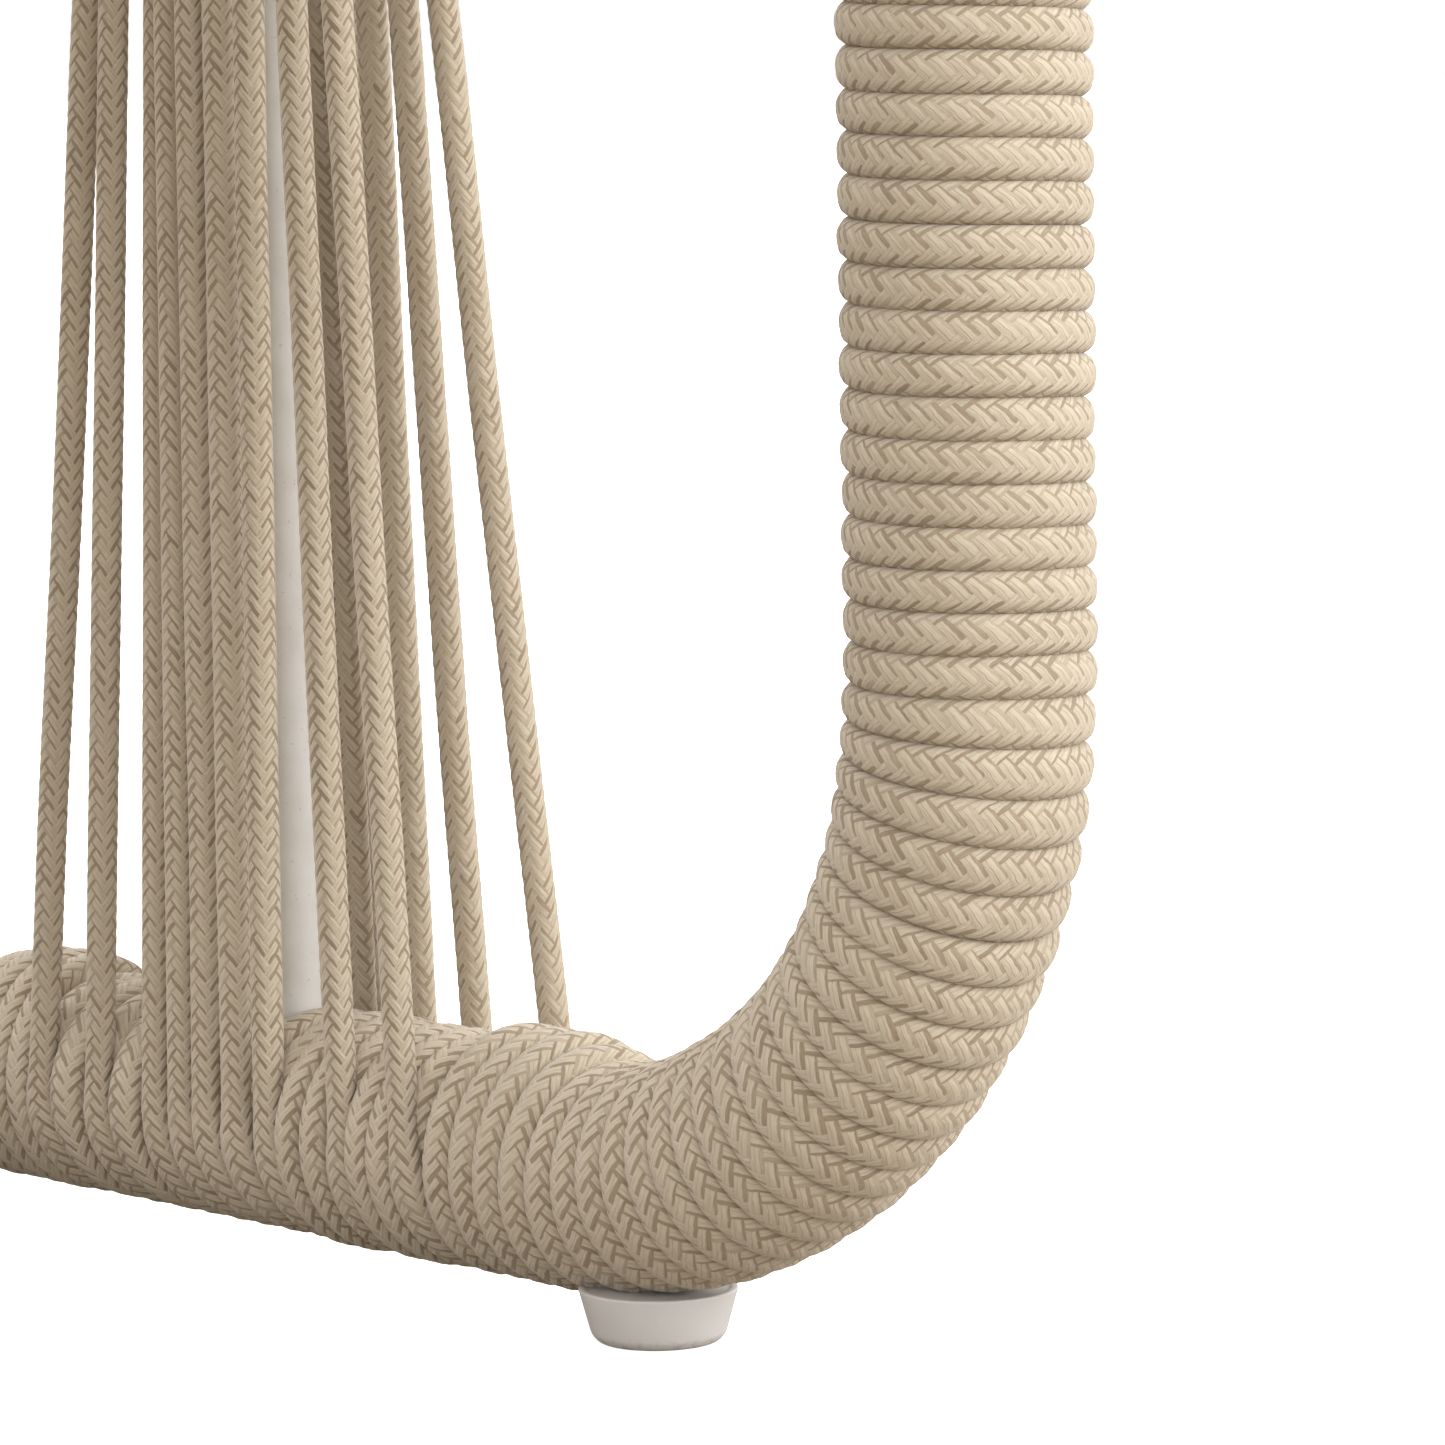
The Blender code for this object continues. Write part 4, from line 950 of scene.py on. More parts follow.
# ------------------------------------------------- winding on straight tubes
def straight_winding(name, x0, x1, y, z, tube, thick, seed, material, replaces, **mesh):
    """Rope of one thickness wound on a tube along X, from x0 to x1."""
    room = x1 - x0 - thick
    turns = max(2, round(room / (thick * 0.978)))
    tau = np.linspace(0, turns, turns * 48 + 1)
    angle = 2 * np.pi * tau
    x = x0 + thick / 2 + room * tau / turns + 0.02 * thick * wobble(tau, seed, 0.5)
    sink = thick / 2 * both_ends(tau, turns, 0.3)
    radius = tube + thick / 2 - sink + 0.015 * thick * wobble(tau, seed + 1, 0.4)
    outward = np.stack([0 * angle, np.cos(angle), np.sin(angle)], 1)
    path = np.stack([x, y + 0 * x, z + 0 * x], 1) + radius[:, None] * outward
    bag = RopeMesh()
    bag.rope(path, outward, thick * 0.505, thick / 2, **mesh)
    bag.build(name, "stand", material, replaces)


for label, side in SIDES:
    start, end = sorted((side * 0.0292, side * 0.508))
    straight_winding("beam_wrap_rope_" + label, start, end, y=0, z=TOP_Z, tube=0.0302,
                     thick=0.0146, seed=5 + side, material=ROPE,
                     replaces=("beam_wrap_" + label,))
straight_winding("stretcher_wrap_rope", -0.516, 0.516, y=STRETCHER_Y, z=LOW_Z, tube=0.0202,
                 thick=0.0098, seed=3, material=THIN_ROPE, replaces=("stretcher_wrap",),
                 step=0.008, sides=8)


# ------------------------------------------------------ feet, posts and tubes
def foot(label, side, end, y):
    """Glide with a shallow dished top."""
    profile = [(0, FOOT_TOP - 0.0008), (0.0262, FOOT_TOP - 0.0008), (0.0274, FOOT_TOP),
               (0.0299, FOOT_TOP), (0.0251, 0.0028), (0.0224, 0.0), (0.0, 0.0)]
    solid("foot_glide_%s_%s" % (end, label),
          lathe(rounded(profile, 0.0016, 5), 96, at=(side * POST_X, y, 0)),
          FOOT, "stand", ("foot_%s_%s" % (end, label),), angle=60)


def post(label, side, inner=0.0105, outer=0.0125):
    low, high = LOW_Z + TUBE, TOP_Z - TUBE
    profile = [(inner, low), (outer, low), (outer, high), (inner, high), (inner, low)]
    solid("post_" + label, lathe(profile, 48, at=(side * POST_X, 0, 0)),
          PAINT, "stand", ("centre_post_" + label,))


def cross_tube(name, y, z, outer, inner, replaced):
    end = POST_X - 0.012
    profile = [(inner, -end), (inner, end), (outer, end), (outer, -end), (inner, -end)]
    solid(name, lathe(profile, at=(0, y, z), along_x=True),
          PAINT, "stand", (replaced,))


for label, side in SIDES:
    foot(label, side, "front", -FOOT_Y)
    foot(label, side, "rear", FOOT_Y + REAR)
    post(label, side)
cross_tube("crossbeam_tube", 0, TOP_Z, TUBE, 0.0275, "crossbeam")
cross_tube("rear_stretcher_tube", STRETCHER_Y, LOW_Z, STRETCHER_TUBE, 0.018, "rear_stretcher")


# --------------------------------------------------------------- hanger parts
SPRING_TOP, SPRING_BOTTOM = 1.7425, 1.6120
SPRING_R, SPRING_WIRE, SPRING_TURNS = 0.0190, 0.0032, 7
HOOK_R, HOOK_GAP = 0.013, 0.0175     # end hooks, and their centres from the coil
LINK_WIRE, LINK_R, LINK_LENGTH = 0.0035, 0.0105, 0.042
LINK_TOP = SPRING_BOTTOM + SPRING_WIRE + LINK_WIRE + 0.0005


def tension_spring():
    top, bottom = SPRING_TOP - HOOK_R, SPRING_BOTTOM + HOOK_R
    coil_top, coil_bottom = top - HOOK_GAP, bottom + HOOK_GAP

    def hook(z, sign, first, last):
        return [(0, -sign * HOOK_R * math.cos(a), z + sign * HOOK_R * math.sin(a))
                for a in map(math.radians, range(first, last, 15))]

    steps = SPRING_TURNS * 24
    coil = [(SPRING_R * math.sin(2 * math.pi * i / 24), SPRING_R * math.cos(2 * math.pi * i / 24),
             coil_top + (coil_bottom - coil_top) * i / steps) for i in range(steps + 1)]
    path = hook(top, 1, -30, 166) + coil + hook(bottom, -1, 15, 211)
    bag = RopeMesh()
    bag.rod(smooth_path(path), SPRING_WIRE, 12, (1, 0, 0))
    spring = bag.build("tension_spring", "swivel_barrel", STEEL, ("spring",), "steel")
    # it stretches between two bodies, so it rides neither
    spring.parent = None
    spring.matrix_world = Matrix.Identity(4)
    del spring["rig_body"]
    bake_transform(spring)


def quick_link():
    """Oval wire loop with a six-sided sleeve on its right leg."""
    bottom = LINK_TOP - LINK_LENGTH
    path = [(LINK_R * math.cos(a), 0, z + LINK_R * math.sin(a))
            for z, first in ((LINK_TOP - LINK_R, 0), (bottom + LINK_R, math.pi))
            for a in np.linspace(first, first + math.pi, 15)]
    bag = RopeMesh()
    bag.rod(smooth_path(path, cyclic=True), LINK_WIRE, 14, (0, 1, 0), True)
    bag.build("quick_link_loop", "basket", ZINC, ("quick_link",), "zinc")
    # (radius, height from the middle of the link)
    profile = ((0.0037, -0.0080), (0.0052, -0.0085), (0.0058, -0.0074), (0.0058, 0.0074),
               (0.0052, 0.0085), (0.0037, 0.0080), (0.0037, -0.0080))
    centre = (LINK_TOP + bottom) / 2
    solid("quick_link_sleeve", lathe([(r, centre + z) for r, z in profile], 6, at=(LINK_R, 0, 0)),
          ZINC, "basket", angle=25)


tension_spring()
quick_link()


# ------------------------------------------------------------------ the basket
def egg_share(z):
    """Width of the egg at a height, as a share of its widest."""
    z = np.asarray(z, float)
    up = np.clip((z - EGG_MID) / (EGG_TOP - EGG_MID), 0, 1)
    down = np.clip((EGG_MID - z) / (EGG_MID - EGG_LOW), 0, 1)
    return np.where(z >= EGG_MID, np.maximum(0, 1 - up ** 1.9) ** (1 / 1.75),
                    np.maximum(0, 1 - down ** 2.4) ** (1 / 2.4))


def opening(z):
    """Turn from straight ahead to the edge of the opening."""
    share = np.clip((EGG_TOP - np.asarray(z, float)) / (EGG_TOP - LIP_Z), 0, 1)
    return np.arcsin(np.clip(1 - share ** 3, 0, 1) ** 0.5)


def egg_at(turn, z, out=0.0):
    """Points on the egg and its outward directions. turn 0 is straight ahead."""
    turn, z = np.broadcast_arrays(np.asarray(turn, float), np.asarray(z, float))
    share = egg_share(z)
    small = 5e-4
    slope = (egg_share(np.minimum(z + small, EGG_TOP - 1e-5))
             - egg_share(np.maximum(z - small, EGG_LOW + 1e-5))) / (2 * small)
    points = np.stack([EGG_A * share * np.sin(turn), -EGG_B * share * np.cos(turn), z], -1)
    normals = unit(np.stack([EGG_B * np.sin(turn), -EGG_A * np.cos(turn),
                             -EGG_A * EGG_B * slope], -1))
    return points + np.asarray(out)[..., None] * normals, normals


def rim_curve():
    """Closed line round the opening."""
    angle = np.linspace(0, 2 * math.pi, 721)[:-1]
    z = EGG_TOP - (EGG_TOP - LIP_Z) * (1 - np.cos(angle)) / 2
    rim = egg_at(opening(z), z)[0]
    rim[:, 0] *= np.sign(np.sin(angle) + 1e-12) * np.sign(rim[:, 0] + 1e-12)
    rim[np.abs(np.sin(angle)) < 1e-9, 0] = 0.0
    return resample(0.004, closed(rim))[1][0][:-1]


RIM = rim_curve()
RIM_FRAME = frames(RIM, (0, 1, 0), True)
RIM_ALONG = tangents(RIM, True)


def rim_wrap():
    """Cord wound round the rim, in two pieces that meet at the lip."""
    at_rim = distances(closed(RIM))
    length, end_gap = at_rim[-1], 0.012
    turns = int(round((length - 2 * end_gap) / 0.0097))
    tau = np.linspace(0, turns, turns * 30 + 1)
    s = end_gap + (length - 2 * end_gap) * tau / turns + 0.0003 * wobble(tau, 71, 0.6)
    centre, first, along = (sample(s, at_rim, closed(values))
                            for values in (RIM, RIM_FRAME, RIM_ALONG))
    first = unit(first)
    outward = across(2 * np.pi * tau, first, np.cross(unit(along), first))
    sink = CORD / 2 * both_ends(tau, turns, 0.4)
    radius = 0.0126 + CORD / 2 + 0.0002 * wobble(tau, 72, 0.5) - sink
    path = centre + radius[:, None] * outward
    half = len(path) // 2
    for part, piece, replaced in (("right", slice(0, half + 1), ("basket_rim_wrap",)),
                                  ("left", slice(half, None), ())):
        bag = RopeMesh()
        bag.rope(path[piece], outward[piece], 0.0050, CORD / 2, start=0.2, step=0.0075,
                 sides=9, square=0.9)
        bag.build("rim_wrap_rope_" + part, "basket", THIN_ROPE, replaced)


def cage():
    """Keel, hoops and bottom ring behind the ropes."""
    bag = RopeMesh()
    rise, fall = EGG_TOP - 0.0005 - EGG_MID, EGG_MID - EGG_LOW - 0.0005
    quarter = math.pi / 2
    back_up = EGG_MID + rise * np.sin(np.linspace(quarter, 0, 60))
    back_down = EGG_MID - fall * np.sin(np.linspace(0, quarter, 60))
    lip = math.asin((EGG_MID - LIP_Z) / (EGG_MID - EGG_LOW))
    front = EGG_MID - fall * np.sin(np.linspace(quarter, lip, 40))
    keel = np.vstack([egg_at(math.pi, np.concatenate([back_up[:-1], back_down]), -HOOP_IN)[0],
                      egg_at(0.0, front, -HOOP_IN)[0],
                      egg_at(0.0, np.array([LIP_Z - 0.002]))[0]])
    bag.rod(resample(0.012, keel)[1][0], CAGE_ROD, 12, (1, 0, 0))
    for z in HOOP_Z:
        start = opening(z) + 0.010
        turn = np.linspace(start, 2 * math.pi - start, 130)
        bag.rod(egg_at(turn, z, -HOOP_IN)[0], CAGE_ROD, 12, (0, 0, 1))
    turn = np.linspace(0, 2 * math.pi, 121)[:-1]
    bag.rod(egg_at(turn, RING_Z, -HOOP_IN)[0], CAGE_ROD, 12, (0, 0, 1), True)
    bag.build("basket_cage", "basket", PAINT, ("basket_frame",), "white_paint")


def uprights():
    """Ropes from the coiled base to the rim or the crown. Returns the
    (turn, z) of those that end on the rim."""
    bags = {"right": RopeMesh(), "left": RopeMesh()}
    ends = []
    rim_z = np.linspace(LIP_Z, EGG_TOP - 0.004, 900)
    rim_turn = opening(rim_z)
    crown_z = (1.5245, 1.4850, 1.5080, 1.4850)
    w = np.linspace(0, 1, 260) * math.pi / 2
    for k in range(UPRIGHTS):
        odd = k % 2
        turn = 2 * math.pi * (k + 0.5) / UPRIGHTS
        off_front = min(turn, 2 * math.pi - turn)
        crown = off_front >= rim_turn[-1]
        z1 = crown_z[k % 4] if crown else float(np.interp(off_front, rim_turn, rim_z))
        z0 = 0.4055 - (0.003 if odd else -0.004)
        mid_z = min(EGG_MID, z1)
        z = mid_z - (mid_z - z0) * np.cos(w)
        if z1 > EGG_MID:
            z = np.concatenate([z[:-1], mid_z + (z1 - mid_z) * np.sin(w)])
        # every other rope rides up where they crowd together
        spacing = 2 * math.pi * egg_share(z) * 0.5 * (EGG_A + EGG_B) / UPRIGHTS
        lift = np.sqrt(np.maximum(0.0, 0.0090 ** 2 - spacing ** 2)) * 0.6 if odd else 0.0
        out = SHELL_OUT + lift + 0.0004 * wobble(z, 300 + k, 0.05)
        # over and under the twined rows
        for j, row_z in enumerate(ROW_Z):
            weave = 0.0011 if (k + j) % 2 else -0.0009
            out = out + weave * np.exp(-((z - row_z) / 0.014) ** 2)
        if crown:
            out = out - 0.004 * step01((z - (z1 - 0.02)) / 0.02)
        else:
            ends.append((turn, z1))
        path, outward = egg_at(turn + 0.0012 * wobble(z, 400 + k, 0.12), z, out)
        bags["right" if turn <= math.pi else "left"].rope(
            path, outward, 0.0045, 0.0045, start=0.11 * k, step=0.0115, sides=8, roll=0.03 * k)
    bags["right"].build("basket_uprights_right", "basket", THIN_ROPE, ("basket_shell",))
    bags["left"].build("basket_uprights_left", "basket", THIN_ROPE)
    return ends


def tie_loops(ends, radius=0.0226 + 0.0030):
    """Loops that tie each upright to the rim."""
    bag = RopeMesh()
    x = np.linspace(0, 2 * math.pi, 25)[:-1]
    for turn, z in ends:
        i = int(np.argmin(np.linalg.norm(RIM - egg_at(turn, z)[0], axis=1)))
        outward = across(x, RIM_FRAME[i], np.cross(RIM_ALONG[i], RIM_FRAME[i]))
        bag.rope(RIM[i] + radius * outward, outward, 0.0042, 0.0036, start=0.3, cyclic=True,
                 step=0.008, sides=8)
    bag.build("rim_tie_loops", "basket", THIN_ROPE)


def base_coil(pitch=0.0094, end_radius=0.172):
    turns = int(round((end_radius - 0.007) / pitch))
    turn = np.linspace(0, 2 * math.pi * turns, turns * 60)
    share = (0.006 + pitch * turn / (2 * math.pi)) / EGG_A
    z = EGG_MID - (EGG_MID - EGG_LOW) * np.maximum(0, 1 - share ** 2.4) ** (1 / 2.4)
    path, outward = egg_at(turn, z, 0.0052)
    bag = RopeMesh()
    bag.rope(path, outward, 0.0049, 0.0048, step=0.009, sides=8, square=0.9)
    bag.build("basket_base_coil", "basket", THIN_ROPE)


def twined_rows():
    """Two cords in each row that cross between the uprights."""
    bag = RopeMesh()
    for row_z in ROW_Z:
        whole = row_z < LIP_Z
        first = 0.0 if whole else float(opening(row_z)) + 0.012
        turn = np.linspace(first, 2 * math.pi - first, 1401)
        if whole:
            turn = turn[:-1]
        phase = UPRIGHTS * turn / 2
        for start, sign in ((0.0, 1), (0.4, -1)):
            path, outward = egg_at(turn, row_z + 0.0046 * (np.sin(phase) * sign),
                                   SHELL_OUT + 0.0073 * (np.cos(phase) * sign))
            bag.rope(path, outward, 0.0027, 0.0027, start=start, cyclic=whole, step=0.0055,
                     sides=6)
    bag.build("basket_twined_rows", "basket", THIN_ROPE)


rim_wrap()
cage()
tie_loops(uprights())
base_coil()
twined_rows()


# ------------------------------------------------------------------- cushions
# A tuft is a point on the cushion and the direction its button faces.
CLOTH_FRAMES = 20
CLOTH = dict(quality=5, mass=0.25, tension_stiffness=18, compression_stiffness=18,
             shear_stiffness=12, bending_stiffness=0.35, use_pressure=True,
             uniform_pressure_force=4.0, vertex_group_mass="held", pin_stiffness=1.0)
MOVE_LIMIT = 0.0085       # how far the cloth may move
PIPING_R = 0.0036


def read_points(mesh):
    points = np.empty(len(mesh.vertices) * 3)
    mesh.vertices.foreach_get("co", points)
    return points.reshape(-1, 3)


def baked(obj):
    graph = bpy.context.evaluated_depsgraph_get()
    return bpy.data.meshes.new_from_object(obj.evaluated_get(graph))


def blow_up(obj, start, tufts, depth):
    """Cloth run under pressure with the tufts held. Returns the new points."""
    held = obj.vertex_groups.new(name="held")
    for point, normal in tufts:
        away = np.linalg.norm(start - (point - depth * normal), axis=1)
        held.add(np.nonzero(away < 0.009)[0].tolist(), 1.0, "REPLACE")
    cloth = obj.modifiers.new("cloth", "CLOTH")
    for key, value in CLOTH.items():
        setattr(cloth.settings, key, value)
    cloth.settings.effector_weights.gravity = 0.0
    cloth.collision_settings.use_collision = False
    cloth.collision_settings.use_self_collision = False
    cloth.point_cache.frame_start, cloth.point_cache.frame_end = 1, CLOTH_FRAMES
    scene = bpy.context.scene
    for number in range(1, CLOTH_FRAMES + 1):
        scene.frame_set(number)
    result = obj.evaluated_get(bpy.context.evaluated_depsgraph_get())
    move = read_points(result.to_mesh()) - start
    result.to_mesh_clear()
    length = np.linalg.norm(move, axis=1)
    obj.modifiers.clear()
    scene.frame_set(1)
    return start + move * np.minimum(1.0, MOVE_LIMIT / np.maximum(length, 1e-9))[:, None]


def inflate(name, shape, voxel, tufts, depth):
    """Remesh a cushion, press in the tufts, blow it up and smooth it."""
    obj = add(name + "_raw", to_mesh(name + "_raw", shape))
    remesh = obj.modifiers.new("remesh", "REMESH")
    remesh.mode = "VOXEL"
    remesh.voxel_size = voxel
    remesh.use_smooth_shade = True
    mesh = baked(obj)
    obj.modifiers.clear()
    obj.data = mesh
    points = read_points(mesh)
    for point, normal in tufts:
        away = np.linalg.norm(points - point, axis=1)
        points = points - depth * np.exp(-(away / 0.022) ** 2)[:, None] * normal
    mesh.vertices.foreach_set("co", points.ravel())
    mesh.update()
    points = blow_up(obj, points, tufts, depth)
    mesh.vertices.foreach_set("co", np.ascontiguousarray(points).ravel())
    mesh.update()
    # ease the voxel steps away
    eased = bmesh.new()
    eased.from_mesh(mesh)
    for _ in range(4):
        bmesh.ops.smooth_vert(eased, verts=eased.verts, factor=0.5,
                              use_axis_x=True, use_axis_y=True, use_axis_z=True)
    eased.to_mesh(mesh)
    eased.free()
    bpy.data.objects.remove(obj)
    return mesh


def cloth_uv(mesh, project):
    layer = mesh.uv_layers.new(name="cloth")
    index = np.empty(len(mesh.loops), np.int32)
    mesh.loops.foreach_get("vertex_index", index)
    uvs = project(read_points(mesh))[index]
    layer.data.foreach_set("uv", uvs.astype(np.float32).ravel())


def pad(name, mesh, replaced, project):
    """Subdivides and places a cushion. Returns its surface for what lies on it."""
    coarse = add(name + "_sub", mesh)
    coarse.modifiers.new("s", "SUBSURF").levels = 1
    fine = baked(coarse)
    bpy.data.objects.remove(coarse)
    cloth_uv(fine, project)
    fine.name = name
    fine.shade_smooth()
    surface = BVHTree.FromPolygons([v.co.copy() for v in fine.vertices],
                                   [tuple(p.vertices) for p in fine.polygons])
    place(name, fine, FABRIC, "basket", (replaced,))
    return surface


def piping(name, surface, line, lift=0.001):
    """Cord laid on the nearest surface of a cushion."""
    nearest = [surface.find_nearest(Vector(point))[:2] for point in line]
    normals = np.array([np.array(normal) for _, normal in nearest])
    points = np.array([np.array(point) for point, _ in nearest]) + normals * lift

    def ease(values):
        return 0.25 * np.roll(values, 1, 0) + 0.5 * values + 0.25 * np.roll(values, -1, 0)

    for _ in range(6):
        points = ease(points)
        normals = unit(ease(normals))
    bag = RopeMesh()
    bag.rope(points, normals, PIPING_R, PIPING_R, cyclic=True, step=0.006, sides=8)
    bag.build(name, "basket", PIPING, slot="cushion_fabric")


def buttons(name, surface, tufts):
    profile = rounded([(0, 0.0042), (0.0050, 0.0037), (0.0085, 0.0022), (0.0100, 0.0002),
                       (0.0092, -0.0016), (0.0, -0.0020)], 0.0008, 2)
    shape = bmesh.new()
    for point, normal in tufts:
        seat = surface.find_nearest(Vector(point))[0]
        facing = Vector(normal).to_track_quat("Z", "Y").to_matrix().to_4x4()
        one = lathe(profile, 28)
        one.transform(Matrix.Translation(seat + Vector(normal) * 0.0012) @ facing)
        button = to_mesh("button", one)
        shape.from_mesh(button)
        bpy.data.meshes.remove(button)
    mesh = to_mesh(name, shape)
    cloth_uv(mesh, lambda points: points[:, [0, 2]])
    mesh.shade_smooth()
    place(name, mesh, FABRIC, "basket")


def seat_cushion():
    """Oval pad that fills the bowl."""
    flatten, edge = EGG_B / EGG_A, 0.300
    # (radius, z) of the upper side
    profile = [(0, 0.577), (0.140, 0.575), (0.230, 0.569), (0.275, 0.561), (0.293, 0.551),
               (edge, 0.540)]
    # (z, distance inside the egg) of the flank
    profile += [(EGG_A * float(egg_share(z)) - inset, z) for z, inset in (
        (0.528, 0.056), (0.510, 0.058), (0.490, 0.066), (0.474, 0.082))]
    profile += [(0.20, 0.462), (0.0, 0.460)]
    shape = lathe(rounded(profile, 0.010, 3), 72)
    shape.transform(Matrix.Diagonal((1, flatten, 1, 1)))
    up = np.array([0, 0, 1.0])
    tufts = [(np.array([0.0, 0.0, 0.577]), up)]
    for k in range(6):
        turn = math.radians(30 + 60 * k)
        tufts.append((np.array([0.165 * math.sin(turn), -0.165 * flatten * math.cos(turn),
                                0.573]), up))
    mesh = inflate("seat_pad", shape, 0.006, tufts, 0.016)
    surface = pad("seat_pad", mesh, "seat_cushion",
                  lambda points: np.stack([points[:, 0], points[:, 1] + points[:, 2]], 1))
    turn = np.linspace(0, 2 * math.pi, 241)[:-1]
    piping("seat_piping", surface, np.stack(
        [edge * np.sin(turn), -edge * flatten * np.cos(turn), 0 * turn + 0.556], 1))
    buttons("seat_buttons", surface, tufts)


def back_at(u, v, w):
    """Point in the back pad: u across -1 to 1, v up 0 to 1, w 0 on the face
    towards the ropes, 1 on the sitter's."""
    low, high = 0.622, 1.320
    spread = np.radians(61 - 10 * v ** 2) * (
        1 - 0.10 * np.clip((v - 0.72) / 0.28, 0, 1) ** 2
        - 0.05 * np.clip((0.15 - v) / 0.15, 0, 1) ** 2)
    return egg_at(math.pi + u * spread, low + (high - low) * v, -(0.036 + 0.076 * w))[0]


def back_shape(cols=40, rows=46):
    """Two curved faces joined round their edges, thinner towards them."""
    u, v = np.meshgrid(np.sin(np.linspace(-math.pi / 2, math.pi / 2, cols + 1)),
                       0.5 + 0.5 * np.sin(np.linspace(-math.pi / 2, math.pi / 2, rows + 1)))
    edge = np.clip(np.minimum((1 - np.abs(u)) / 0.14, np.minimum(v, 1 - v) / 0.075), 0, 1)
    puff = 0.5 * np.sqrt(np.clip(1 - (1 - edge) ** 2, 0, 1)) * 0.92 + 0.04
    shape = bmesh.new()
    inner, outer = ([[shape.verts.new(point) for point in row] for row in back_at(u, v, w)]
                    for w in (0.5 + puff, 0.5 - puff))
    face = shape.faces.new
    for i in range(rows):
        for j in range(cols):
            face((inner[i][j], inner[i][j + 1], inner[i + 1][j + 1], inner[i + 1][j]))
            face((outer[i][j], outer[i + 1][j], outer[i + 1][j + 1], outer[i][j + 1]))
    for i in range(rows):
        face((inner[i][0], inner[i + 1][0], outer[i + 1][0], outer[i][0]))
        face((inner[i][cols], outer[i][cols], outer[i + 1][cols], inner[i + 1][cols]))
    for j in range(cols):
        face((inner[0][j], outer[0][j], outer[0][j + 1], inner[0][j + 1]))
        face((inner[rows][j], inner[rows][j + 1], outer[rows][j + 1], outer[rows][j]))
    bmesh.ops.recalc_face_normals(shape, faces=shape.faces)
    return shape


def back_uv(points):
    return np.stack([np.arctan2(points[:, 0], points[:, 1]) * 0.33, points[:, 2]], 1)


def back_cushion():
    """Curved pad that leans on the shell."""
    tufts = []
    three, two = (-0.52, 0.0, 0.52), (-0.27, 0.27)
    for v, row in ((0.20, three), (0.41, two), (0.62, three), (0.82, two)):
        for u in row:
            point = back_at(u, v, 0.96)
            tufts.append((point, unit(point - back_at(u, v, 0.5))))
    mesh = inflate("back_pad", back_shape(), 0.0076, tufts, 0.018)
    surface = pad("back_pad", mesh, "back_cushion", back_uv)
    across_u, up_v = np.linspace(-1, 1, 60), np.linspace(0, 1, 80)[1:-1]
    loop = np.array([(u, 0.0) for u in across_u] + [(1.0, v) for v in up_v]
                    + [(u, 1.0) for u in across_u[::-1]] + [(-1.0, v) for v in up_v[::-1]])
    piping("back_piping", surface, back_at(loop[:, 0], loop[:, 1], 0.58))
    buttons("back_buttons", surface, tufts)


seat_cushion()
back_cushion()


# ------------------------------------------------------------ floor and light
SKY = 1.42                # sky strength on the chair; the camera sees 1
FLOOR_BOUNCE = 0.33
# name, place, aim, diameter, watts
LIGHTS = (("key", (2.3, -3.3, 1.7), (0.3, -0.1, 0.7), 3.0, 92),
          ("fill", (-2.9, -2.4, 2.6), (0.2, 0, 0.8), 2.6, 16),
          ("back", (0.5, 3.4, 3.2), (0, 0, 0.9), 3.0, 25))
# radians: yaw from +X towards +Y, pitch downwards, roll about the view axis
YAW, PITCH_DOWN, ROLL = 0.834805, 0.109804, -0.014821


def floor():
    """White where the camera sees it, a duller bounce on what stands on it."""
    shape = bmesh.new()
    bmesh.ops.create_grid(shape, x_segments=2, y_segments=2, size=40.0)
    mesh = to_mesh("floor", shape)
    obj = add("floor", mesh)
    net = Net("floor_white")
    seen = net.node("LightPath", "Is Camera Ray")
    bounce = tint((FLOOR_BOUNCE,) * 3, 1.12, 0.97, 0.78)
    mesh.materials.append(net.surface(
        Base_Color=net.mix(seen, bounce, (0.95, 0.95, 0.95, 1)),
        Emission_Color=(1, 1, 1, 1), Emission_Strength=seen * 0.75,
        Roughness=0.9, Specular_IOR_Level=0.1))


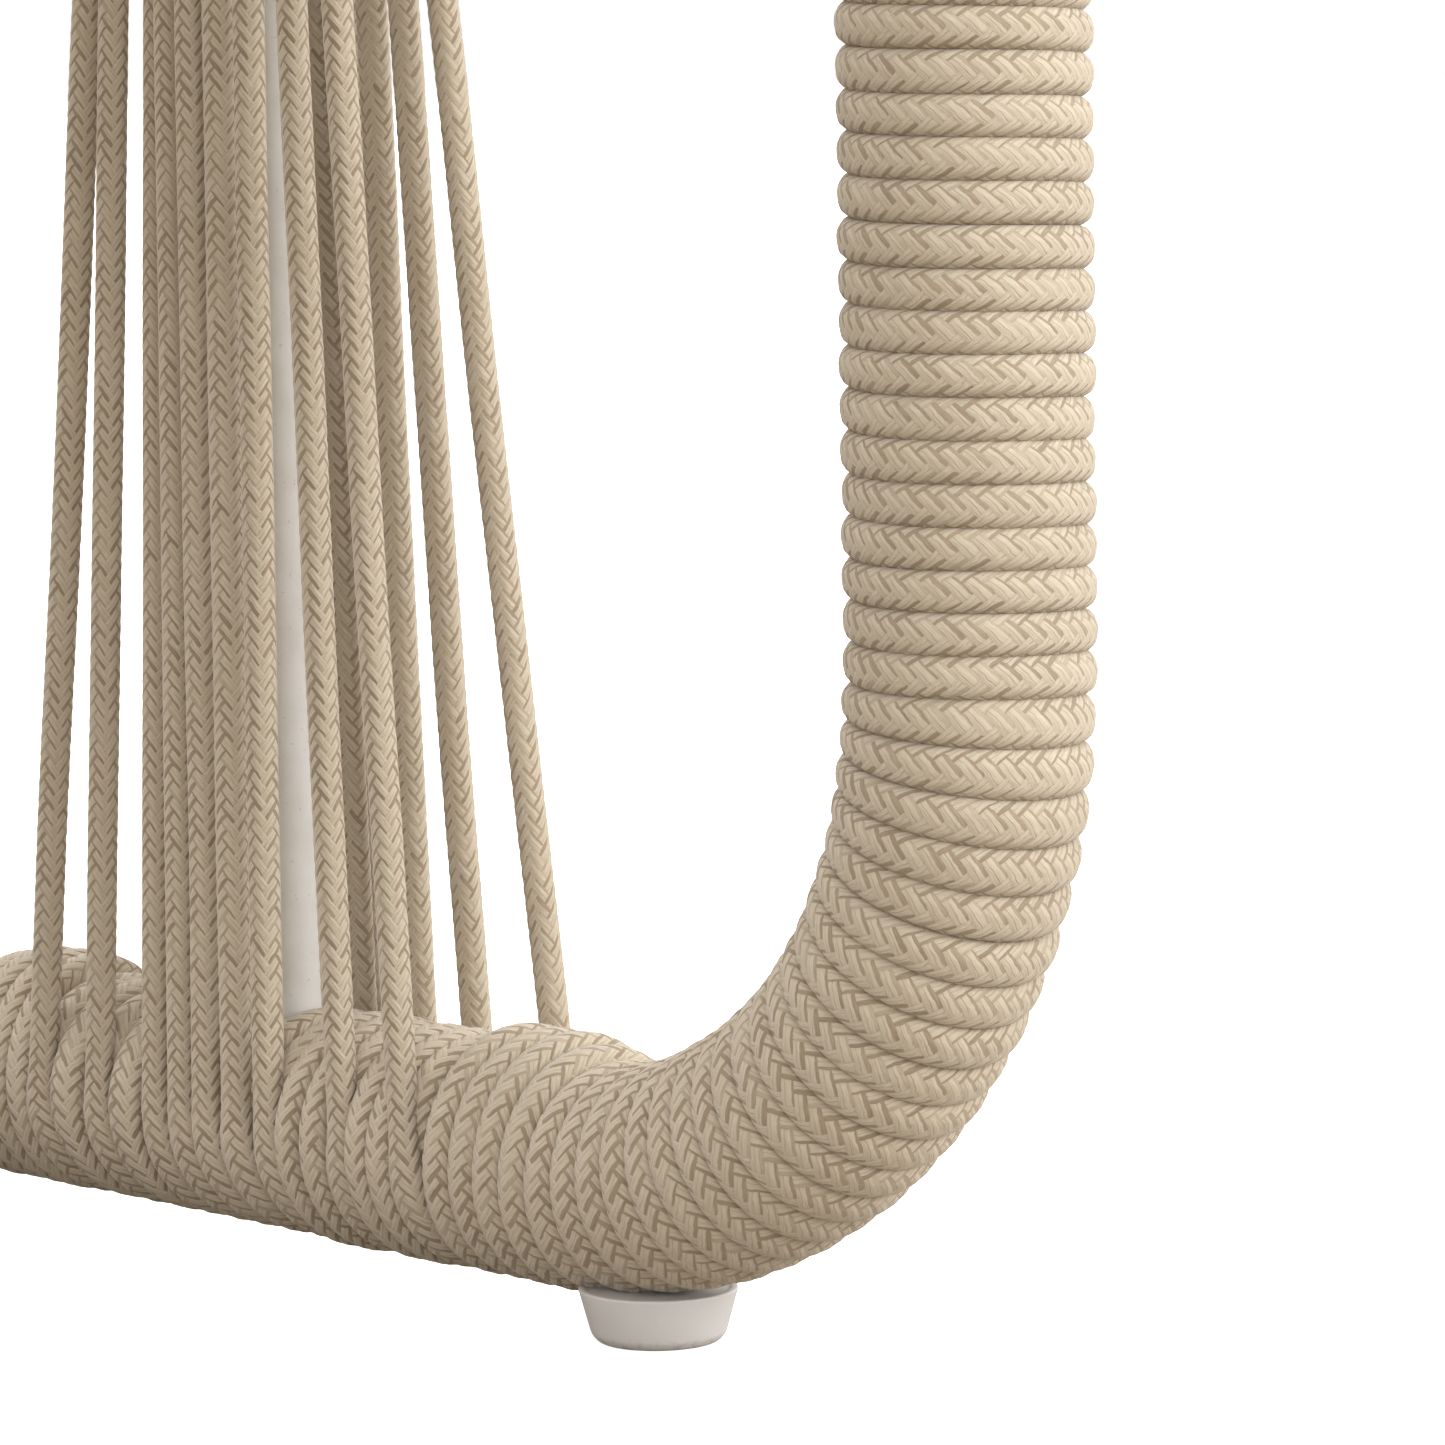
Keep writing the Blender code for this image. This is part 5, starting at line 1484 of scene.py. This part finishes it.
def studio():
    world = bpy.data.worlds.new("studio")
    bpy.context.scene.world = world
    world.use_nodes = True
    tree = world.node_tree
    sky = tree.nodes["Background"]
    sky.inputs["Color"].default_value = (1.0, 1.0, 1.0, 1)
    path = tree.nodes.new("ShaderNodeLightPath")
    level = tree.nodes.new("ShaderNodeMapRange")
    level.inputs["To Min"].default_value = SKY
    level.inputs["To Max"].default_value = 1.0
    tree.links.new(path.outputs["Is Camera Ray"], level.inputs["Value"])
    tree.links.new(level.outputs["Result"], sky.inputs["Strength"])


def lights():
    for name, location, target, size, power in LIGHTS:
        light = bpy.data.lights.new(name, "AREA")
        light.shape = "DISK"
        light.size = size
        light.energy = power
        obj = add(name, light)
        obj.location = location
        obj.rotation_mode = "QUATERNION"
        aim = Vector(target) - Vector(location)
        obj.rotation_quaternion = aim.to_track_quat("-Z", "Y")
        obj.visible_camera = False


def camera():
    data = bpy.data.cameras.new("camera")
    data.sensor_width = 36.0
    data.lens = 155.9113
    data.clip_start, data.clip_end = 0.05, 200
    obj = add("camera", data)
    rotation = (Matrix.Rotation(YAW - math.pi / 2, 4, "Z")
                @ Matrix.Rotation(math.pi / 2 - PITCH_DOWN, 4, "X")
                @ Matrix.Rotation(ROLL, 4, "Z"))
    location = Vector((-0.892259, -1.9212 + SHIFT_Y, 0.48134))
    obj.matrix_world = Matrix.Translation(location) @ rotation
    scene = bpy.context.scene
    scene.camera = obj
    scene.view_settings.view_transform = "Standard"
    scene.view_settings.look = "None"
    scene.view_settings.exposure = 0.0


floor()
studio()
lights()
camera()


# --------------------------------------------- frame pieces that stay visible
SLOTS = {"rope": ROPE, "white_paint": PAINT, "foot_plastic": FOOT, "steel": STEEL,
         "zinc": ZINC, "nylon": NYLON, "cushion_fabric": FABRIC}


def dress_frame():
    for obj in frame["nodes"].values():
        if obj.hide_render:
            continue
        materials = obj.data.materials
        old = materials[0].name if materials and materials[0] else "white_paint"
        slot = next((key for key in SLOTS if old.startswith(key)), "white_paint")
        materials.clear()
        materials.append(SLOTS[slot])
        obj.data.shade_smooth()
        obj.data.set_sharp_from_angle(angle=math.radians(40))


dress_frame()
